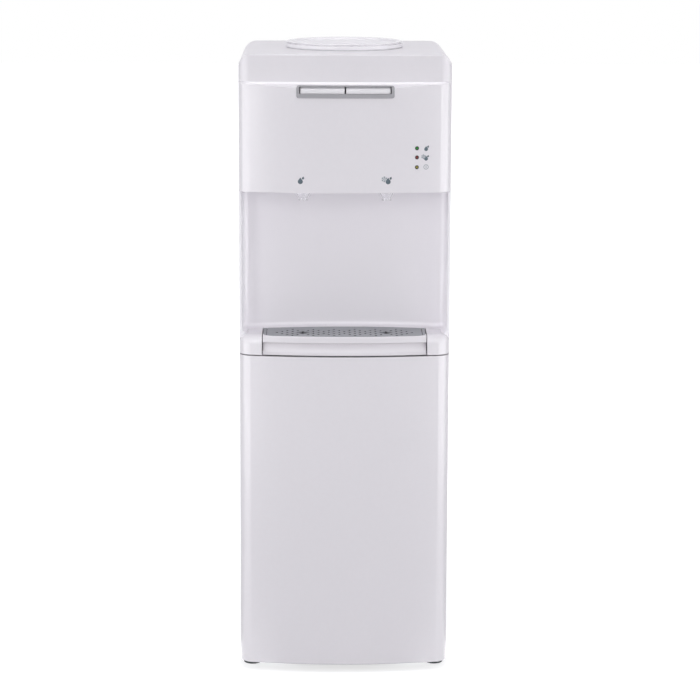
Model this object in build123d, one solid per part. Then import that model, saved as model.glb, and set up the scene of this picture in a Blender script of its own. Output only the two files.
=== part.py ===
from build123d import *
import math
import os

# A floor-standing water cooler that carries its bottle on top, in millimetres.
# The front faces -Y, Z is up, and the origin is on the floor under the middle of the body.

# ---- driving dimensions: the whole body ----
WIDTH = 315
DEPTH = 326
HEIGHT = 950
HALF = WIDTH / 2
BEZEL_PROUD = 1.5
FRONT = -DEPTH / 2 + BEZEL_PROUD
BOW_RADIUS = 740
CORNER_RADIUS = 21
WALL = 2.5
SHEET = 1.0
CLEAR = 0.3

# ---- heights of the visible joints between the mouldings ----
FOOT_HEIGHT = 12
SEAM_Z = 491.5
SEAM_GAP = 0.8
SHELF_Z = 521.5
HOOD_LOW = 737
HOOD_TOP = 899.4
COVER_LOW = HOOD_TOP
COVER_TOP = 940

# ---- depths ----
SIDE_FRONT = FRONT + 35
MOULDING_BACK = SIDE_FRONT - SEAM_GAP
REAR = 150
COVER_FRONT = FRONT + 15
COVER_BOW = 2600
COVER_CORNER = 17
COVER_EASE = 2.4
COVER_RABBET = 0.7

# ---- alcove over the drip tray ----
ALCOVE_RADIUS = 620
ALCOVE_BACK = FRONT + 96
CHEEK_X = HALF - SHEET - WALL
ALCOVE_CORNER = 12
COVE_RADIUS = 8
SHOULDER_RADIUS = 13
LINER_SKIRT = 8
CEILING_Z = HOOD_LOW + 1.5

# ---- hood: sloping facet and the bright step under the cover ----
STEP_DROP = 3.4
FACET_BACK = COVER_FRONT - STEP_DROP - 0.4
FACET_Z = HOOD_TOP - STEP_DROP
FACET_SLOPE = 7 / 11.2

# ---- push keys ----
BEZEL_LOW, BEZEL_HIGH, BEZEL_HALF = 876.8, 894.5, 71.5
LIP_Z = 883.0
KEY_HALF_GAP, KEY_END = 1.2, 66.0
KEY_SINK = 1.8
KEY_PIVOT_Y, KEY_PIVOT_Z = -108.0, 884.0
KEY_PIN_R = 1.5
KEY_PLATE = 2.5

# ---- taps ----
TAP_X = 62.0
TAP_Y = FRONT + 32.5
NOZZLE_LOW = 723.0
INLET_Z = 751.0
STEM_R = 3.0
STEM_TOP = 876.7
BONNET_Z = 780.0
SPRING_LENGTH = 20.0
HOSE_R = 6.0
HOSE_BORE_R = 4.05

# ---- indicator lamps ----
LAMP_X = 105.5
LAMP_Z = {"green": 803.0, "red": 789.5, "yellow": 775.0}
LAMP_R = 2.6

# ---- bottle seat ----
BOTTLE_Y = 4.0
COLLAR_R = 88.5
RIM_R = 87.5
COVER_HOLE_R = 76.0
THROAT_R = 30.0
THROAT_FLOOR = 881.5
SPIKE_R = 7.5

# ---- cold tank, its foam and the deck under it ----
DECK_Z = 758.0
DECK_SHEET = 1.5
FOAM_R = 104.0
TANK_R = 85.0
TANK_LOW = 772.0
TANK_HIGH = 868.0
COLD_HOSE_Y = -25.0
VENT_Y = 62.0
JACKET_R = 88.0

# ---- hot tank ----
HOT_X, HOT_Y = -24.0, 34.0
HOT_R = 50.0
HOT_LOW, HOT_HIGH = 575.0, 735.0
HOT_FOAM_R = 64.0
MID_SHELF_Z = 538.0
SHELF_SHEET = 1.5

# ---- drip tray and grille ----
TRAY_HALF = 122.3
SLOT_HALF = 123.5
TRAY_FLOOR = 496.0
LEDGE_Z = 518.3
GRILLE_THICK = 3.0
GRILLE_HALF = 121.8
GRILLE_CORNER = 20.0
GRILLE_PITCH = 7.8
GRILLE_HOLE = 2.5
DRAIN_DIAMOND = 10.8
DRAIN_COLUMN = 8
LIP_LOW = 511.7
LIP_THICK = 2.6

# ---- cooling unit ----
BASE_Z = FOOT_HEIGHT + SHEET
PAN_SHEET = 1.2
RAIL_HEIGHT = 8.0
GROMMET_HEIGHT = 10.0
COMPRESSOR_X, COMPRESSOR_Y = 20.0, 80.0
COMPRESSOR_RX, COMPRESSOR_RY = 78.0, 60.0
COMPRESSOR_CORNER = 55.0
COMPRESSOR_FOOT_Z = BASE_Z + PAN_SHEET + RAIL_HEIGHT + GROMMET_HEIGHT
MOUNT_X, MOUNT_Y = 60.0, 45.0
SUCTION_Z = COMPRESSOR_FOOT_Z + 80
DISCHARGE_Z = COMPRESSOR_FOOT_Z + 60
DISCHARGE_Y = COMPRESSOR_Y + 28
RISER_X = -110.0
COIL_TUBE_R = 2.4
COIL_Y = 157.0
COIL_PASSES = 7
COIL_PITCH = 48.0
COIL_LOW = 222.0
COIL_HIGH = COIL_LOW + (COIL_PASSES - 1) * COIL_PITCH
COIL_HALF = 104.0
WIRE = 1.4
WIRE_COUNT = 15
REAR_PANEL_LOW = 190.0
DRIER_X, DRIER_Y = 136.0, 128.0
DRIER_TOP = 152.0

# ---- feet ----
FOOT_X = 140.0
FOOT_FRONT_Y = FRONT + 55
FOOT_REAR_Y = REAR - 24

# ---- rear fittings ----
SWITCH_X, SWITCH_Z = 84.0, 810.0
ROCKER_HALF_W, ROCKER_HALF_H = 7.0, 13.0
ROCKER_TILT = 8.0
ROCKER_PIN_R = 1.5
ROCKER_PITCH = 21.0
ROCKER_Y = REAR - 5
DRAIN_Z = 556.0
GLAND_X, GLAND_Z = 110.0, 600.0


def bar(x0, x1, y0, y1, z0, z1):
    """A straight block between two corners."""
    middle = Pos((x0 + x1) / 2, (y0 + y1) / 2, (z0 + z1) / 2)
    return middle * Box(x1 - x0, y1 - y0, z1 - z0)


def prism(plan, low, high):
    """A plan outline raised from one height to another."""
    return extrude(Pos(0, 0, low) * plan, amount=high - low, dir=(0, 0, 1))


def side_prism(points, x0, x1):
    """An outline drawn in Y and Z, drawn out along X."""
    face = Plane.YZ * make_face(Polyline(*points, close=True))
    return Pos(x0, 0, 0) * extrude(face, amount=x1 - x0, dir=(1, 0, 0))


def front_prism(outline, y0, y1):
    """An outline drawn in X and Z, drawn out along Y."""
    return Pos(0, y0, 0) * extrude(Plane.XZ * outline, amount=y1 - y0, dir=(0, 1, 0))


def turned(profile, x=0.0, y=0.0):
    """A profile of radius and height, turned about an upright axis."""
    face = Plane.XZ * make_face(Polyline(*profile, close=True))
    return Pos(x, y, 0) * revolve(face, Axis.Z)


def turned_level(profile, x=0.0, z=0.0):
    """A profile of radius and depth, turned about a level axis along Y."""
    face = make_face(Polyline(*profile, close=True))
    return Pos(x, 0, z) * revolve(face, Axis.Y)


def upright(radius, x, y, low, high):
    """An upright round bar."""
    return Pos(x, y, (low + high) / 2) * Cylinder(radius, high - low)


def hose(points, bend, outer, bore):
    """A tube of straight runs and tangent bends."""
    route = FilletPolyline(*points, radius=bend)
    section = Plane(origin=route @ 0, z_dir=route % 0) * (Circle(outer) - Circle(bore))
    return sweep(section, path=route)


def bow_y(x, inset=0.0):
    """Depth of the bowed front surface at a place across the width."""
    return FRONT + BOW_RADIUS - math.sqrt((BOW_RADIUS - inset) ** 2 - x**2)


def body_plan(inset, back):
    """Plan of the body: straight sides, bowed front and rounded front corners."""
    reach = 20
    half = HALF - inset
    block = Pos(0, (FRONT - reach + back) / 2) * Rectangle(2 * half, back - FRONT + reach)
    plan = block & Pos(0, FRONT + BOW_RADIUS) * Circle(BOW_RADIUS - inset)
    return fillet(plan.vertices().sort_by(Axis.Y)[:2], CORNER_RADIUS - inset)


def alcove_plan(offset):
    """Plan of the hollow over the tray: curved back, rounded corners, open front."""
    reach = -200
    half = CHEEK_X + offset
    block = Pos(0, reach / 2) * Rectangle(2 * half, -reach)
    curve = Pos(0, ALCOVE_BACK - ALCOVE_RADIUS) * Circle(ALCOVE_RADIUS + offset)
    plan = block & curve
    return fillet(plan.vertices().sort_by(Axis.Y)[-2:], ALCOVE_CORNER + offset)


def hood_form(inset, back, low):
    """The hood's solid form under its sloping facet."""
    far = -210
    lowest = low - 1
    roof = [
        (far, lowest),
        (back + 1, lowest),
        (back + 1, FACET_Z - inset),
        (FACET_BACK, FACET_Z - inset),
        (far, FACET_Z - inset - FACET_SLOPE * (FACET_BACK - far)),
    ]
    return prism(body_plan(inset, back), low, HOOD_TOP + 5) & side_prism(roof, -HALF - 5, HALF + 5)


def hood_step():
    """The bright step that leads from the facet up to the foot of the cover, round both corners."""
    low = FACET_Z - 1
    foot = prism(cover_plan(-STEP_DROP), low, HOOD_TOP)
    foot = chamfer(foot.edges().group_by(Axis.Z)[-1], STEP_DROP)
    return foot & prism(body_plan(0, MOULDING_BACK), low, HOOD_TOP)


def side_tongues(low, high):
    """Tongues that carry a front moulding inside the two steel sides."""
    x1 = HALF - SHEET
    right = bar(x1 - 1.5, x1, MOULDING_BACK - 6, MOULDING_BACK + 10, low, high)
    return right + mirror(right, about=Plane.YZ)


# ---- cabinet ----
def foot(x, y):
    """A foot with a spread base, a taper and a stud."""
    profile = [
        (0, 0),
        (13, 0),
        (14, 1),
        (14, 3.5),
        (11, 9),
        (11, FOOT_HEIGHT),
        (5, FOOT_HEIGHT),
        (5, BASE_Z),
        (4, BASE_Z),
        (4, BASE_Z + 12),
        (0, BASE_Z + 12),
    ]
    return turned(profile, x, y)


def foot_pair(y):
    """The two feet at one end of the base."""
    return foot(-FOOT_X, y) + foot(FOOT_X, y)


def base_plate():
    """Pressed steel pan with compressor rails, air slots and stud holes."""
    half = HALF - SHEET - 0.1
    front, back = SIDE_FRONT + 0.5, REAR - 2
    flange = BASE_Z + 21
    outline = Pos(0, (front + back) / 2) * RectangleRounded(2 * half, back - front, 5)
    inner = Pos(0, (front + back) / 2) * RectangleRounded(
        2 * (half - PAN_SHEET), back - front - 2 * PAN_SHEET, 5 - PAN_SHEET
    )
    low = BASE_Z + PAN_SHEET
    pan = prism(outline, BASE_Z, flange) - prism(inner, low, flange + 1)
    top = low + RAIL_HEIGHT
    for y in (COMPRESSOR_Y - MOUNT_Y, COMPRESSOR_Y + MOUNT_Y):
        x0, x1 = COMPRESSOR_X - 80, COMPRESSOR_X + 80
        rail = bar(x0, x1, y - 11, y + 11, low, top)
        pan += rail - bar(x0 - 1, x1 + 1, y - 9.8, y + 9.8, low, top - PAN_SHEET)
    for x in (-FOOT_X, FOOT_X):
        for y in (FOOT_FRONT_Y, FOOT_REAR_Y):
            pan -= upright(4.2, x, y, BASE_Z - 1, BASE_Z + 3)
    for step in range(5):
        y = -90 + 18 * step
        pan -= bar(-60, 60, y - 2.5, y + 2.5, BASE_Z - 1, BASE_Z + 3)
    return pan


def side_panel(side):
    """Steel side with rolled rear, bottom and top returns."""
    outer, inner = HALF, HALF - SHEET
    line = REAR - SHEET
    outline = make_face(
        Polyline(
            (outer, SIDE_FRONT),
            (outer, line),
            (outer - 13, line),
            (outer - 13, line - SHEET),
            (inner, line - SHEET),
            (inner, SIDE_FRONT),
            close=True,
        )
    )
    rolled_edge = outline.vertices().filter_by_position(Axis.X, outer - 0.1, outer + 0.1)
    outline = fillet(rolled_edge.sort_by(Axis.Y)[-1:], 0.9)
    panel = prism(outline, FOOT_HEIGHT, HOOD_TOP)
    panel += bar(outer - 12, inner, SIDE_FRONT + 8, line - SHEET, FOOT_HEIGHT, FOOT_HEIGHT + SHEET)
    panel += bar(outer - 12, inner, -100, line - SHEET, HOOD_TOP - SHEET, HOOD_TOP)
    return panel if side > 0 else mirror(panel, about=Plane.YZ)


def rear_panel():
    """Steel rear with two banks of pressed louvres and its cut-outs."""
    outer, inner = REAR, REAR - SHEET
    half = HALF - 1.5
    panel = bar(-half, half, inner, outer, REAR_PANEL_LOW, HOOD_TOP)
    panel += bar(-half + 14, half - 14, inner - 9, inner, REAR_PANEL_LOW, REAR_PANEL_LOW + SHEET)
    hood = [
        (outer, 5.6),
        (outer + 3, 1),
        (outer + 3, 0),
        (outer + 2.2, 0),
        (outer + 2.2, 0.8),
        (outer, 4.2),
    ]
    for row in range(7):
        z = 640 + 13 * row
        for x in (-78, 78):
            panel -= bar(x - 36, x + 36, inner - 1, outer + 1, z - 0.4, z + 4.2)
            panel += side_prism([(y, z + rise) for y, rise in hood], x - 36, x + 36)
    panel -= bar(SWITCH_X - 23, SWITCH_X + 23, 140, 155, SWITCH_Z - 15.5, SWITCH_Z + 15.5)
    for x, z, radius in ((HOT_X, DRAIN_Z, 9.2), (GLAND_X, GLAND_Z, 7.2)):
        panel -= Pos(x, inner, z) * Rot(90, 0, 0) * Cylinder(radius, 12)
    return panel


def lower_front_panel():
    """Plain bowed front with rounded corners, returns and inner stiffeners."""
    low, high = FOOT_HEIGHT, SEAM_Z - SEAM_GAP
    skin = prism(body_plan(0, MOULDING_BACK), low, high)
    base_edges = skin.edges().group_by(Axis.Z)[0].sort_by(Axis.Y)[:-1]
    skin = fillet(base_edges, 2.0)
    panel = skin - prism(body_plan(WALL, SIDE_FRONT + 5), low + WALL, high - WALL)
    panel -= prism(body_plan(14, SIDE_FRONT + 5), low - 1, high + 1)
    stiffeners = Part()
    for x in (-96, -32, 32, 96):
        stiffeners += bar(x - 0.9, x + 0.9, FRONT, FRONT + 26, low + WALL, high - WALL)
    room = prism(body_plan(WALL, SIDE_FRONT), low, high)
    stiffeners = (stiffeners & room) - prism(body_plan(9, SIDE_FRONT), low, high)
    return panel + stiffeners + side_tongues(low + 40, high - 10)


# ---- shelf, drip tray and grille ----
def shelf_form(inset):
    """The shelf moulding's form: bowed nose with soft shoulders, and the shelf behind it."""
    low = SEAM_Z + SEAM_GAP - inset
    high = SHELF_Z - inset
    nose = prism(body_plan(inset, MOULDING_BACK), low, high)
    front_edges = nose.edges().group_by(Axis.Z)[-1].sort_by(Axis.Y)[:-1]
    nose = fillet(front_edges, SHOULDER_RADIUS - inset)
    shelf = prism(alcove_plan(-COVE_RADIUS - 0.1 - inset), low, high)
    return nose + (shelf & bar(-HALF, HALF, MOULDING_BACK - 0.1, 0, low, high))


def tray_housing():
    """Shelf moulding with soft shoulders, open in front for the tray."""
    low, high = SEAM_Z + SEAM_GAP, SHELF_Z
    floor_high = TRAY_FLOOR - 0.4
    mouth_back = FRONT + 26
    form = shelf_form(0)
    half = HALF - SHEET
    wings = bar(-half, half, MOULDING_BACK - 0.1, -92, high - 13, high - 13 + WALL)
    body = form + wings - shelf_form(WALL)
    room = bar(-SLOT_HALF, SLOT_HALF, FRONT - 5, mouth_back, low - 5, high + 5)
    room += bar(-SLOT_HALF, SLOT_HALF, mouth_back, 0, floor_high, high + 5)
    room &= prism(alcove_plan(-COVE_RADIUS - 0.1 - WALL), low - 6, high + 6)
    body -= room
    body -= bar(-SLOT_HALF, SLOT_HALF, -110, 0, LEDGE_Z - 0.3, high + 5)
    for side in (-1, 1):
        x0, x1 = sorted((side * SLOT_HALF, side * (SLOT_HALF + WALL)))
        body += bar(x0, x1, FRONT, 0, low, high) & form
    floor = bar(-SLOT_HALF, SLOT_HALF, mouth_back, 0, floor_high - 2, floor_high)
    return body + (floor & form)


def drip_tray():
    """Pull-out tray: bowed lip, hollowed finger grip under it and a basin."""
    radius = BOW_RADIUS
    grip = ThreePointArc((radius - 1.5, SEAM_Z + 1.3), (radius - 6.6, 499.5), (radius - 8.5, 509.3))
    outline = Polyline(
        (radius - 8.5, 509.3),
        (radius - 7.6, LIP_LOW - 0.7),
        (radius - 0.9, LIP_LOW - 0.2),
        (radius, LIP_LOW + 0.7),
        (radius, SHELF_Z - 0.8),
        (radius - 0.8, SHELF_Z),
        (radius - LIP_THICK, SHELF_Z),
        (radius - LIP_THICK, LEDGE_Z),
        (radius - 12.5, LEDGE_Z),
        (radius - 12.5, TRAY_FLOOR),
        (radius - 9.5, TRAY_FLOOR),
        (radius - 5, SEAM_Z + 1.3),
        (radius - 1.5, SEAM_Z + 1.3),
    )
    face = make_face([*grip.edges(), *outline.edges()])
    ring = revolve(Plane.XZ * face, Axis.Z, 24)
    ring = Pos(0, FRONT + radius, 0) * Rot(0, 0, -102) * ring
    front = ring & bar(-TRAY_HALF, TRAY_HALF, FRONT - 5, FRONT + 60, 480, 530)
    plan = tray_plan(TRAY_HALF, 12, COVE_RADIUS + 3.2)
    well = tray_plan(TRAY_HALF - 2, 14, COVE_RADIUS + 5.2)
    basin = prism(plan, TRAY_FLOOR, LEDGE_Z) - prism(well, TRAY_FLOOR + 2, LEDGE_Z + 1)
    tray = front + basin
    for x in (-41, 41):
        rib = bar(x - 0.8, x + 0.8, FRONT + 12, -80, TRAY_FLOOR + 1, TRAY_FLOOR + 8)
        tray += rib & prism(plan, TRAY_FLOOR, LEDGE_Z)
    ledge = 3
    rim = prism(tray_plan(TRAY_HALF, 1.5, 0), LEDGE_Z - 2, SHELF_Z)
    rim -= prism(grille_plan(LIP_THICK, GRILLE_HALF + CLEAR, GRILLE_CORNER), LEDGE_Z, SHELF_Z + 1)
    inner = grille_plan(LIP_THICK + ledge, GRILLE_HALF - ledge, GRILLE_CORNER - ledge)
    rim -= prism(inner, LEDGE_Z - 3, LEDGE_Z + 1)
    for side in (-1, 1):
        x0, x1 = sorted((side * (TRAY_HALF - GRILLE_CORNER), side * TRAY_HALF))
        tray += rim & bar(x0, x1, FRONT, FRONT + GRILLE_CORNER + 8, LEDGE_Z - 2, SHELF_Z)
    return tray


def tray_plan(half, behind_front, before_wall):
    """Plan between the bowed front and the alcove's curved back."""
    block = Pos(0, -100) * Rectangle(2 * half, 200)
    bow = Pos(0, FRONT + BOW_RADIUS) * Circle(BOW_RADIUS - behind_front)
    back = Pos(0, ALCOVE_BACK - ALCOVE_RADIUS) * Circle(ALCOVE_RADIUS - before_wall)
    return block & bow & back


def grille_plan(behind_front, half, corner):
    """The grille's lens-shaped plan with rounded front corners."""
    plan = tray_plan(half, behind_front, COVE_RADIUS + 0.6)
    return fillet(plan.vertices().sort_by(Axis.Y)[:2], corner)


def grille_columns():
    """Column number and row offset of each drain hole, in waves of four columns."""
    last = 13
    for column in range(-last, last + 1):
        place = abs(column)
        crest = min((2, 6, 10), key=lambda peak: abs(peak - place))
        reach = 3 - abs(crest - place)
        for row in range(-reach, reach + 1, 2):
            beside_drain = abs(place - DRAIN_COLUMN) <= 1 and abs(row) <= 1
            if not beside_drain:
                yield column, row


def drip_grille():
    """Lens-shaped grille with a wave of diamond holes and two large drains."""
    outline = grille_plan(LIP_THICK + 0.3, GRILLE_HALF, GRILLE_CORNER)
    plate = prism(outline, LEDGE_Z, LEDGE_Z + GRILLE_THICK)
    middle_y = FRONT + LIP_THICK + 36
    small = Rot(0, 0, 45) * Rectangle(GRILLE_HOLE * math.sqrt(2), GRILLE_HOLE * math.sqrt(2))
    large = Rot(0, 0, 45) * Rectangle(DRAIN_DIAMOND * math.sqrt(2), DRAIN_DIAMOND * math.sqrt(2))
    holes = Sketch()
    for column, row in grille_columns():
        holes += Pos(column * GRILLE_PITCH, middle_y + row * GRILLE_PITCH) * small
    for side in (-1, 1):
        holes += Pos(side * DRAIN_COLUMN * GRILLE_PITCH, middle_y) * large
    plate -= prism(holes, LEDGE_Z - 1, SHELF_Z + 1)
    for side in (-1, 1):
        x = side * (GRILLE_HALF - 5)
        groove = bar(x - 0.5, x + 0.5, FRONT, 0, SHELF_Z - 1.2, SHELF_Z + 1)
        plate -= groove
    return plate


# ---- alcove and hood ----
def alcove_liner():
    """One moulding: curved back, thin cheeks, cove at the foot and the ceiling that holds the taps."""
    skirt = SHELF_Z - LINER_SKIRT
    ceiling_top = CEILING_Z + WALL
    cavity = prism(alcove_plan(0), SHELF_Z, CEILING_Z)
    foot_edges = cavity.edges().group_by(Axis.Z)[0].sort_by(Axis.Y)[1:]
    cavity = fillet(foot_edges, COVE_RADIUS)
    shell = prism(alcove_plan(WALL), skirt, ceiling_top)
    shell &= bar(-HALF, HALF, SIDE_FRONT - 2.5, 0, skirt, ceiling_top)
    shell -= prism(alcove_plan(-COVE_RADIUS), skirt - 1, SHELF_Z)
    x0, x1, front = -HALF - 1, HALF + 1, SIDE_FRONT - 5
    nose_room = bar(x0, x1, front, MOULDING_BACK + 0.2, skirt - 1, SHELF_Z + 0.4)
    hood_room = bar(x0, x1, front, SIDE_FRONT + 0.2, HOOD_LOW - 0.4, ceiling_top + 1)
    shell -= cavity + nose_room + hood_room
    for side in (-1, 1):
        x0, x1 = sorted((side * CHEEK_X, side * HALF))
        lip = bar(x0, x1, SIDE_FRONT - 2.5, SIDE_FRONT - CLEAR, SHELF_Z + 0.4, HOOD_LOW - 0.4)
        shell += lip
    shell += prism(body_plan(3, ALCOVE_BACK), CEILING_Z, ceiling_top)
    for x in (-TAP_X, TAP_X):
        shell -= upright(10, x, TAP_Y, CEILING_Z - 1, ceiling_top + 1)
    backing = Part()
    for x in (-100, 0, 100):
        backing += bar(x - 0.9, x + 0.9, ALCOVE_BACK - 25, ALCOVE_BACK + 9, SHELF_Z, CEILING_Z)
    return shell + (backing - prism(alcove_plan(WALL - 0.2), SHELF_Z - 1, CEILING_Z + 1))


def upper_fascia():
    """Bowed hood with its facet, step, key slot, lamp holes and board posts."""
    hood = hood_form(0, MOULDING_BACK, HOOD_LOW) + hood_step()
    hood -= hood_form(WALL, SIDE_FRONT + 5, HOOD_LOW - 3)
    slot = Pos(0, (BEZEL_LOW + BEZEL_HIGH) / 2) * RectangleRounded(
        2 * BEZEL_HALF + 0.4, BEZEL_HIGH - BEZEL_LOW + 0.4, 3.2
    )
    hood -= front_prism(slot, FRONT - 10, FRONT + 22)
    for z in LAMP_Z.values():
        hood -= Pos(LAMP_X, FRONT + 8, z) * Rot(90, 0, 0) * Cylinder(LAMP_R + 0.1, 20)
    for z in (LAMP_Z["green"] - 7, LAMP_Z["yellow"] + 7):
        post = Pos(LAMP_X - 9, FRONT + 8, z) * Rot(90, 0, 0) * Cylinder(2.2, 13)
        hood += post & bar(0, HALF, bow_y(LAMP_X) - 1, -148, 700, 900)
    return hood + side_tongues(HOOD_LOW + 8, HOOD_TOP - 10)


def key_bezel():
    """Rounded frame of the two keys, with three arms back to their pin."""
    middle = (BEZEL_LOW + BEZEL_HIGH) / 2
    frame = Pos(0, middle) * RectangleRounded(2 * BEZEL_HALF, BEZEL_HIGH - BEZEL_LOW, 3)
    window_high = BEZEL_HIGH - 1.4
    window = Pos(0, (LIP_Z + window_high) / 2) * RectangleRounded(
        2 * (KEY_END + 1.5), window_high - LIP_Z, 1
    )
    band = hood_form(-BEZEL_PROUD, SIDE_FRONT, BEZEL_LOW - 5)
    band -= hood_form(1.0, SIDE_FRONT + 9, BEZEL_LOW - 9)
    bezel = front_prism(frame - window, FRONT - 10, FRONT + 14) & band
    arms = Part()
    arm = [
        (FRONT + 0.5, BEZEL_LOW + 0.6),
        (KEY_PIVOT_Y + 4.5, BEZEL_LOW + 0.6),
        (KEY_PIVOT_Y + 4.5, KEY_PIVOT_Z + 4.5),
        (KEY_PIVOT_Y - 9, KEY_PIVOT_Z + 4.5),
        (KEY_PIVOT_Y - 18, LIP_Z),
        (FRONT + 0.5, LIP_Z),
    ]
    for x0, x1 in ((-69.8, -67), (-0.8, 0.8), (67, 69.8)):
        arms += side_prism(arm, x0, x1)
    arms &= hood_form(0.4, 0, BEZEL_LOW - 5)
    bezel += arms
    return bezel - Pos(0, KEY_PIVOT_Y, KEY_PIVOT_Z) * Rot(0, 90, 0) * Cylinder(KEY_PIN_R + 0.02, 160)


def key_pin():
    """The steel pin that both keys turn on."""
    return Pos(0, KEY_PIVOT_Y, KEY_PIVOT_Z) * Rot(0, 90, 0) * Cylinder(KEY_PIN_R, 139)


def push_key(side):
    """A push key: face behind the bezel, plate, hub on the pin and the boss over the tap's stem."""
    x0, x1 = sorted((side * KEY_HALF_GAP, side * KEY_END))
    under = LIP_Z + 0.2
    block = Pos((x0 + x1) / 2, (under + 892.6) / 2) * RectangleRounded(x1 - x0, 892.6 - under, 1)
    band = hood_form(KEY_SINK, SIDE_FRONT, 870) - hood_form(KEY_SINK + 2.6, SIDE_FRONT + 9, 860)
    key = front_prism(block, FRONT - 10, FRONT + 14) & band
    plate = bar(x0, x1, FRONT, KEY_PIVOT_Y + 3, under, under + KEY_PLATE)
    key += plate & hood_form(KEY_SINK + 0.6, 0, 870)
    for x in (x0 + 3, (x0 + x1) / 2, x1 - 3):
        rib = [
            (FRONT + 3, under + 1),
            (KEY_PIVOT_Y - 6, under + 1),
            (KEY_PIVOT_Y - 6, under + 4.6),
            (COVER_FRONT - 6, under + 4.6),
            (FRONT + 3, under + 3.5),
        ]
        key += side_prism(rib, x - 0.8, x + 0.8) & hood_form(KEY_SINK + 0.6, 0, 870)
    key += Pos((x0 + x1) / 2, KEY_PIVOT_Y, KEY_PIVOT_Z) * Rot(0, 90, 0) * Cylinder(4, x1 - x0)
    tip = STEM_TOP + 0.3
    boss = [(0, under + 0.5), (4, under + 0.5), (3.6, tip + 1), (2.4, tip), (0, tip)]
    key += turned(boss, side * TAP_X, TAP_Y)
    return key - Pos(0, KEY_PIVOT_Y, KEY_PIVOT_Z) * Rot(0, 90, 0) * Cylinder(KEY_PIN_R + 0.06, 160)


# ---- taps ----
def tap_body(x):
    """Valve chamber with its flange, neck, seat, bonnet and inlet barb."""
    profile = [
        (9.8, NOZZLE_LOW + 15),
        (9.8, CEILING_Z + WALL),
        (17, CEILING_Z + WALL),
        (17, CEILING_Z + WALL + 2.5),
        (12, CEILING_Z + WALL + 3.5),
        (12, BONNET_Z - 5),
        (14, BONNET_Z - 4),
        (14, BONNET_Z),
        (STEM_R + 0.08, BONNET_Z),
        (STEM_R + 0.08, BONNET_Z - 8),
        (9, BONNET_Z - 8),
        (9, 746.5),
        (5, 746.5),
        (5, 744.5),
        (8, 744.5),
        (8, NOZZLE_LOW + 15),
    ]
    body = turned(profile, x, TAP_Y)
    barb = [(2.5, 8.5), (4, 8.5), (4, 21), (3.4, 24), (2.5, 24)]
    body += Pos(0, TAP_Y, 0) * turned_level(barb, x, INLET_Z)
    return body - Pos(x, TAP_Y + 9, INLET_Z) * Rot(90, 0, 0) * Cylinder(2.5, 8)


def tap_plunger(x):
    """Stem with the seal plug under the seat and a collar for its spring."""
    collar = BONNET_Z + SPRING_LENGTH
    profile = [
        (0, 738),
        (7, 738),
        (7, 742),
        (5.5, 744.4),
        (STEM_R, 744.4),
        (STEM_R, collar),
        (6, collar),
        (6, collar + 2.5),
        (STEM_R, collar + 3.5),
        (STEM_R, STEM_TOP - 0.8),
        (STEM_R - 0.8, STEM_TOP),
        (0, STEM_TOP),
    ]
    return turned(profile, x, TAP_Y)


def tap_spring(x):
    """The return spring round the stem, as the sleeve that its turns fill."""
    low, high = BONNET_Z, BONNET_Z + SPRING_LENGTH
    return upright(5.6, x, TAP_Y, low, high) - upright(3.9, x, TAP_Y, low - 1, high + 1)


def tap_nozzle(x):
    """Clear outlet: shouldered cup that tapers to the spout."""
    top = CEILING_Z - 0.2
    profile = [
        (10, top),
        (13, top),
        (13, NOZZLE_LOW + 10.5),
        (11.5, NOZZLE_LOW + 7),
        (8.4, NOZZLE_LOW + 3.5),
        (7.4, NOZZLE_LOW),
        (5.4, NOZZLE_LOW),
        (6, NOZZLE_LOW + 4.2),
        (8, NOZZLE_LOW + 8),
        (10, NOZZLE_LOW + 12),
    ]
    return turned(profile, x, TAP_Y)


def tap_hose(x, far_y, far_z):
    """Silicone hose from a tap's barb back to its tank."""
    points = [(x, TAP_Y + 15, INLET_Z), (x, far_y, INLET_Z), (x, far_y, far_z)]
    return hose(points, 10, HOSE_R, HOSE_BORE_R)


# ---- indicator lamps ----
def lamp(z):
    """A lamp with a low dome that stands just proud of the hood."""
    face_y = bow_y(LAMP_X) - 0.7
    profile = [
        (0, face_y),
        (1.4, face_y + 0.25),
        (LAMP_R - 0.2, face_y + 1.0),
        (LAMP_R, face_y + 1.6),
        (LAMP_R, -150),
        (1.2, -150),
        (1.2, -148),
        (0, -148),
    ]
    return turned_level(profile, LAMP_X, z)


def lamp_board():
    """Circuit board behind the lamps."""
    return bar(92, 115, -148, -146.4, LAMP_Z["yellow"] - 9, LAMP_Z["green"] + 9)


# ---- top cover and bottle seat ----
def cover_plan(inset):
    """Plan of the cover: nearly straight front with rounded corners."""
    block = Pos(0, (FRONT + REAR) / 2) * Rectangle(WIDTH - 2 * inset, DEPTH + 30)
    plan = block & Pos(0, COVER_FRONT + COVER_BOW) * Circle(COVER_BOW - inset)
    return fillet(plan.vertices().sort_by(Axis.Y)[:2], COVER_CORNER - inset)


def cover_form(inset):
    """The cover's loaf-shaped form with rounded upper and front corners."""
    half = HALF - inset
    low = COVER_LOW - 20
    high = COVER_TOP - inset
    face = Pos(0, (low + high) / 2) * Rectangle(2 * half, high - low)
    face = fillet(face.vertices().sort_by(Axis.Y)[-2:], CORNER_RADIUS - inset)
    loaf = front_prism(face, FRONT - 10, REAR - inset)
    return loaf & prism(cover_plan(inset), low - 1, high + 1)


def eased_cover():
    """The cover's outer form with its top front edge eased."""
    disc = prism(Pos(0, COVER_FRONT + COVER_BOW) * Circle(COVER_BOW), COVER_LOW - 30, COVER_TOP)
    disc = fillet(disc.edges().group_by(Axis.Z)[-1], COVER_EASE)
    return cover_form(0) & disc


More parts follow.
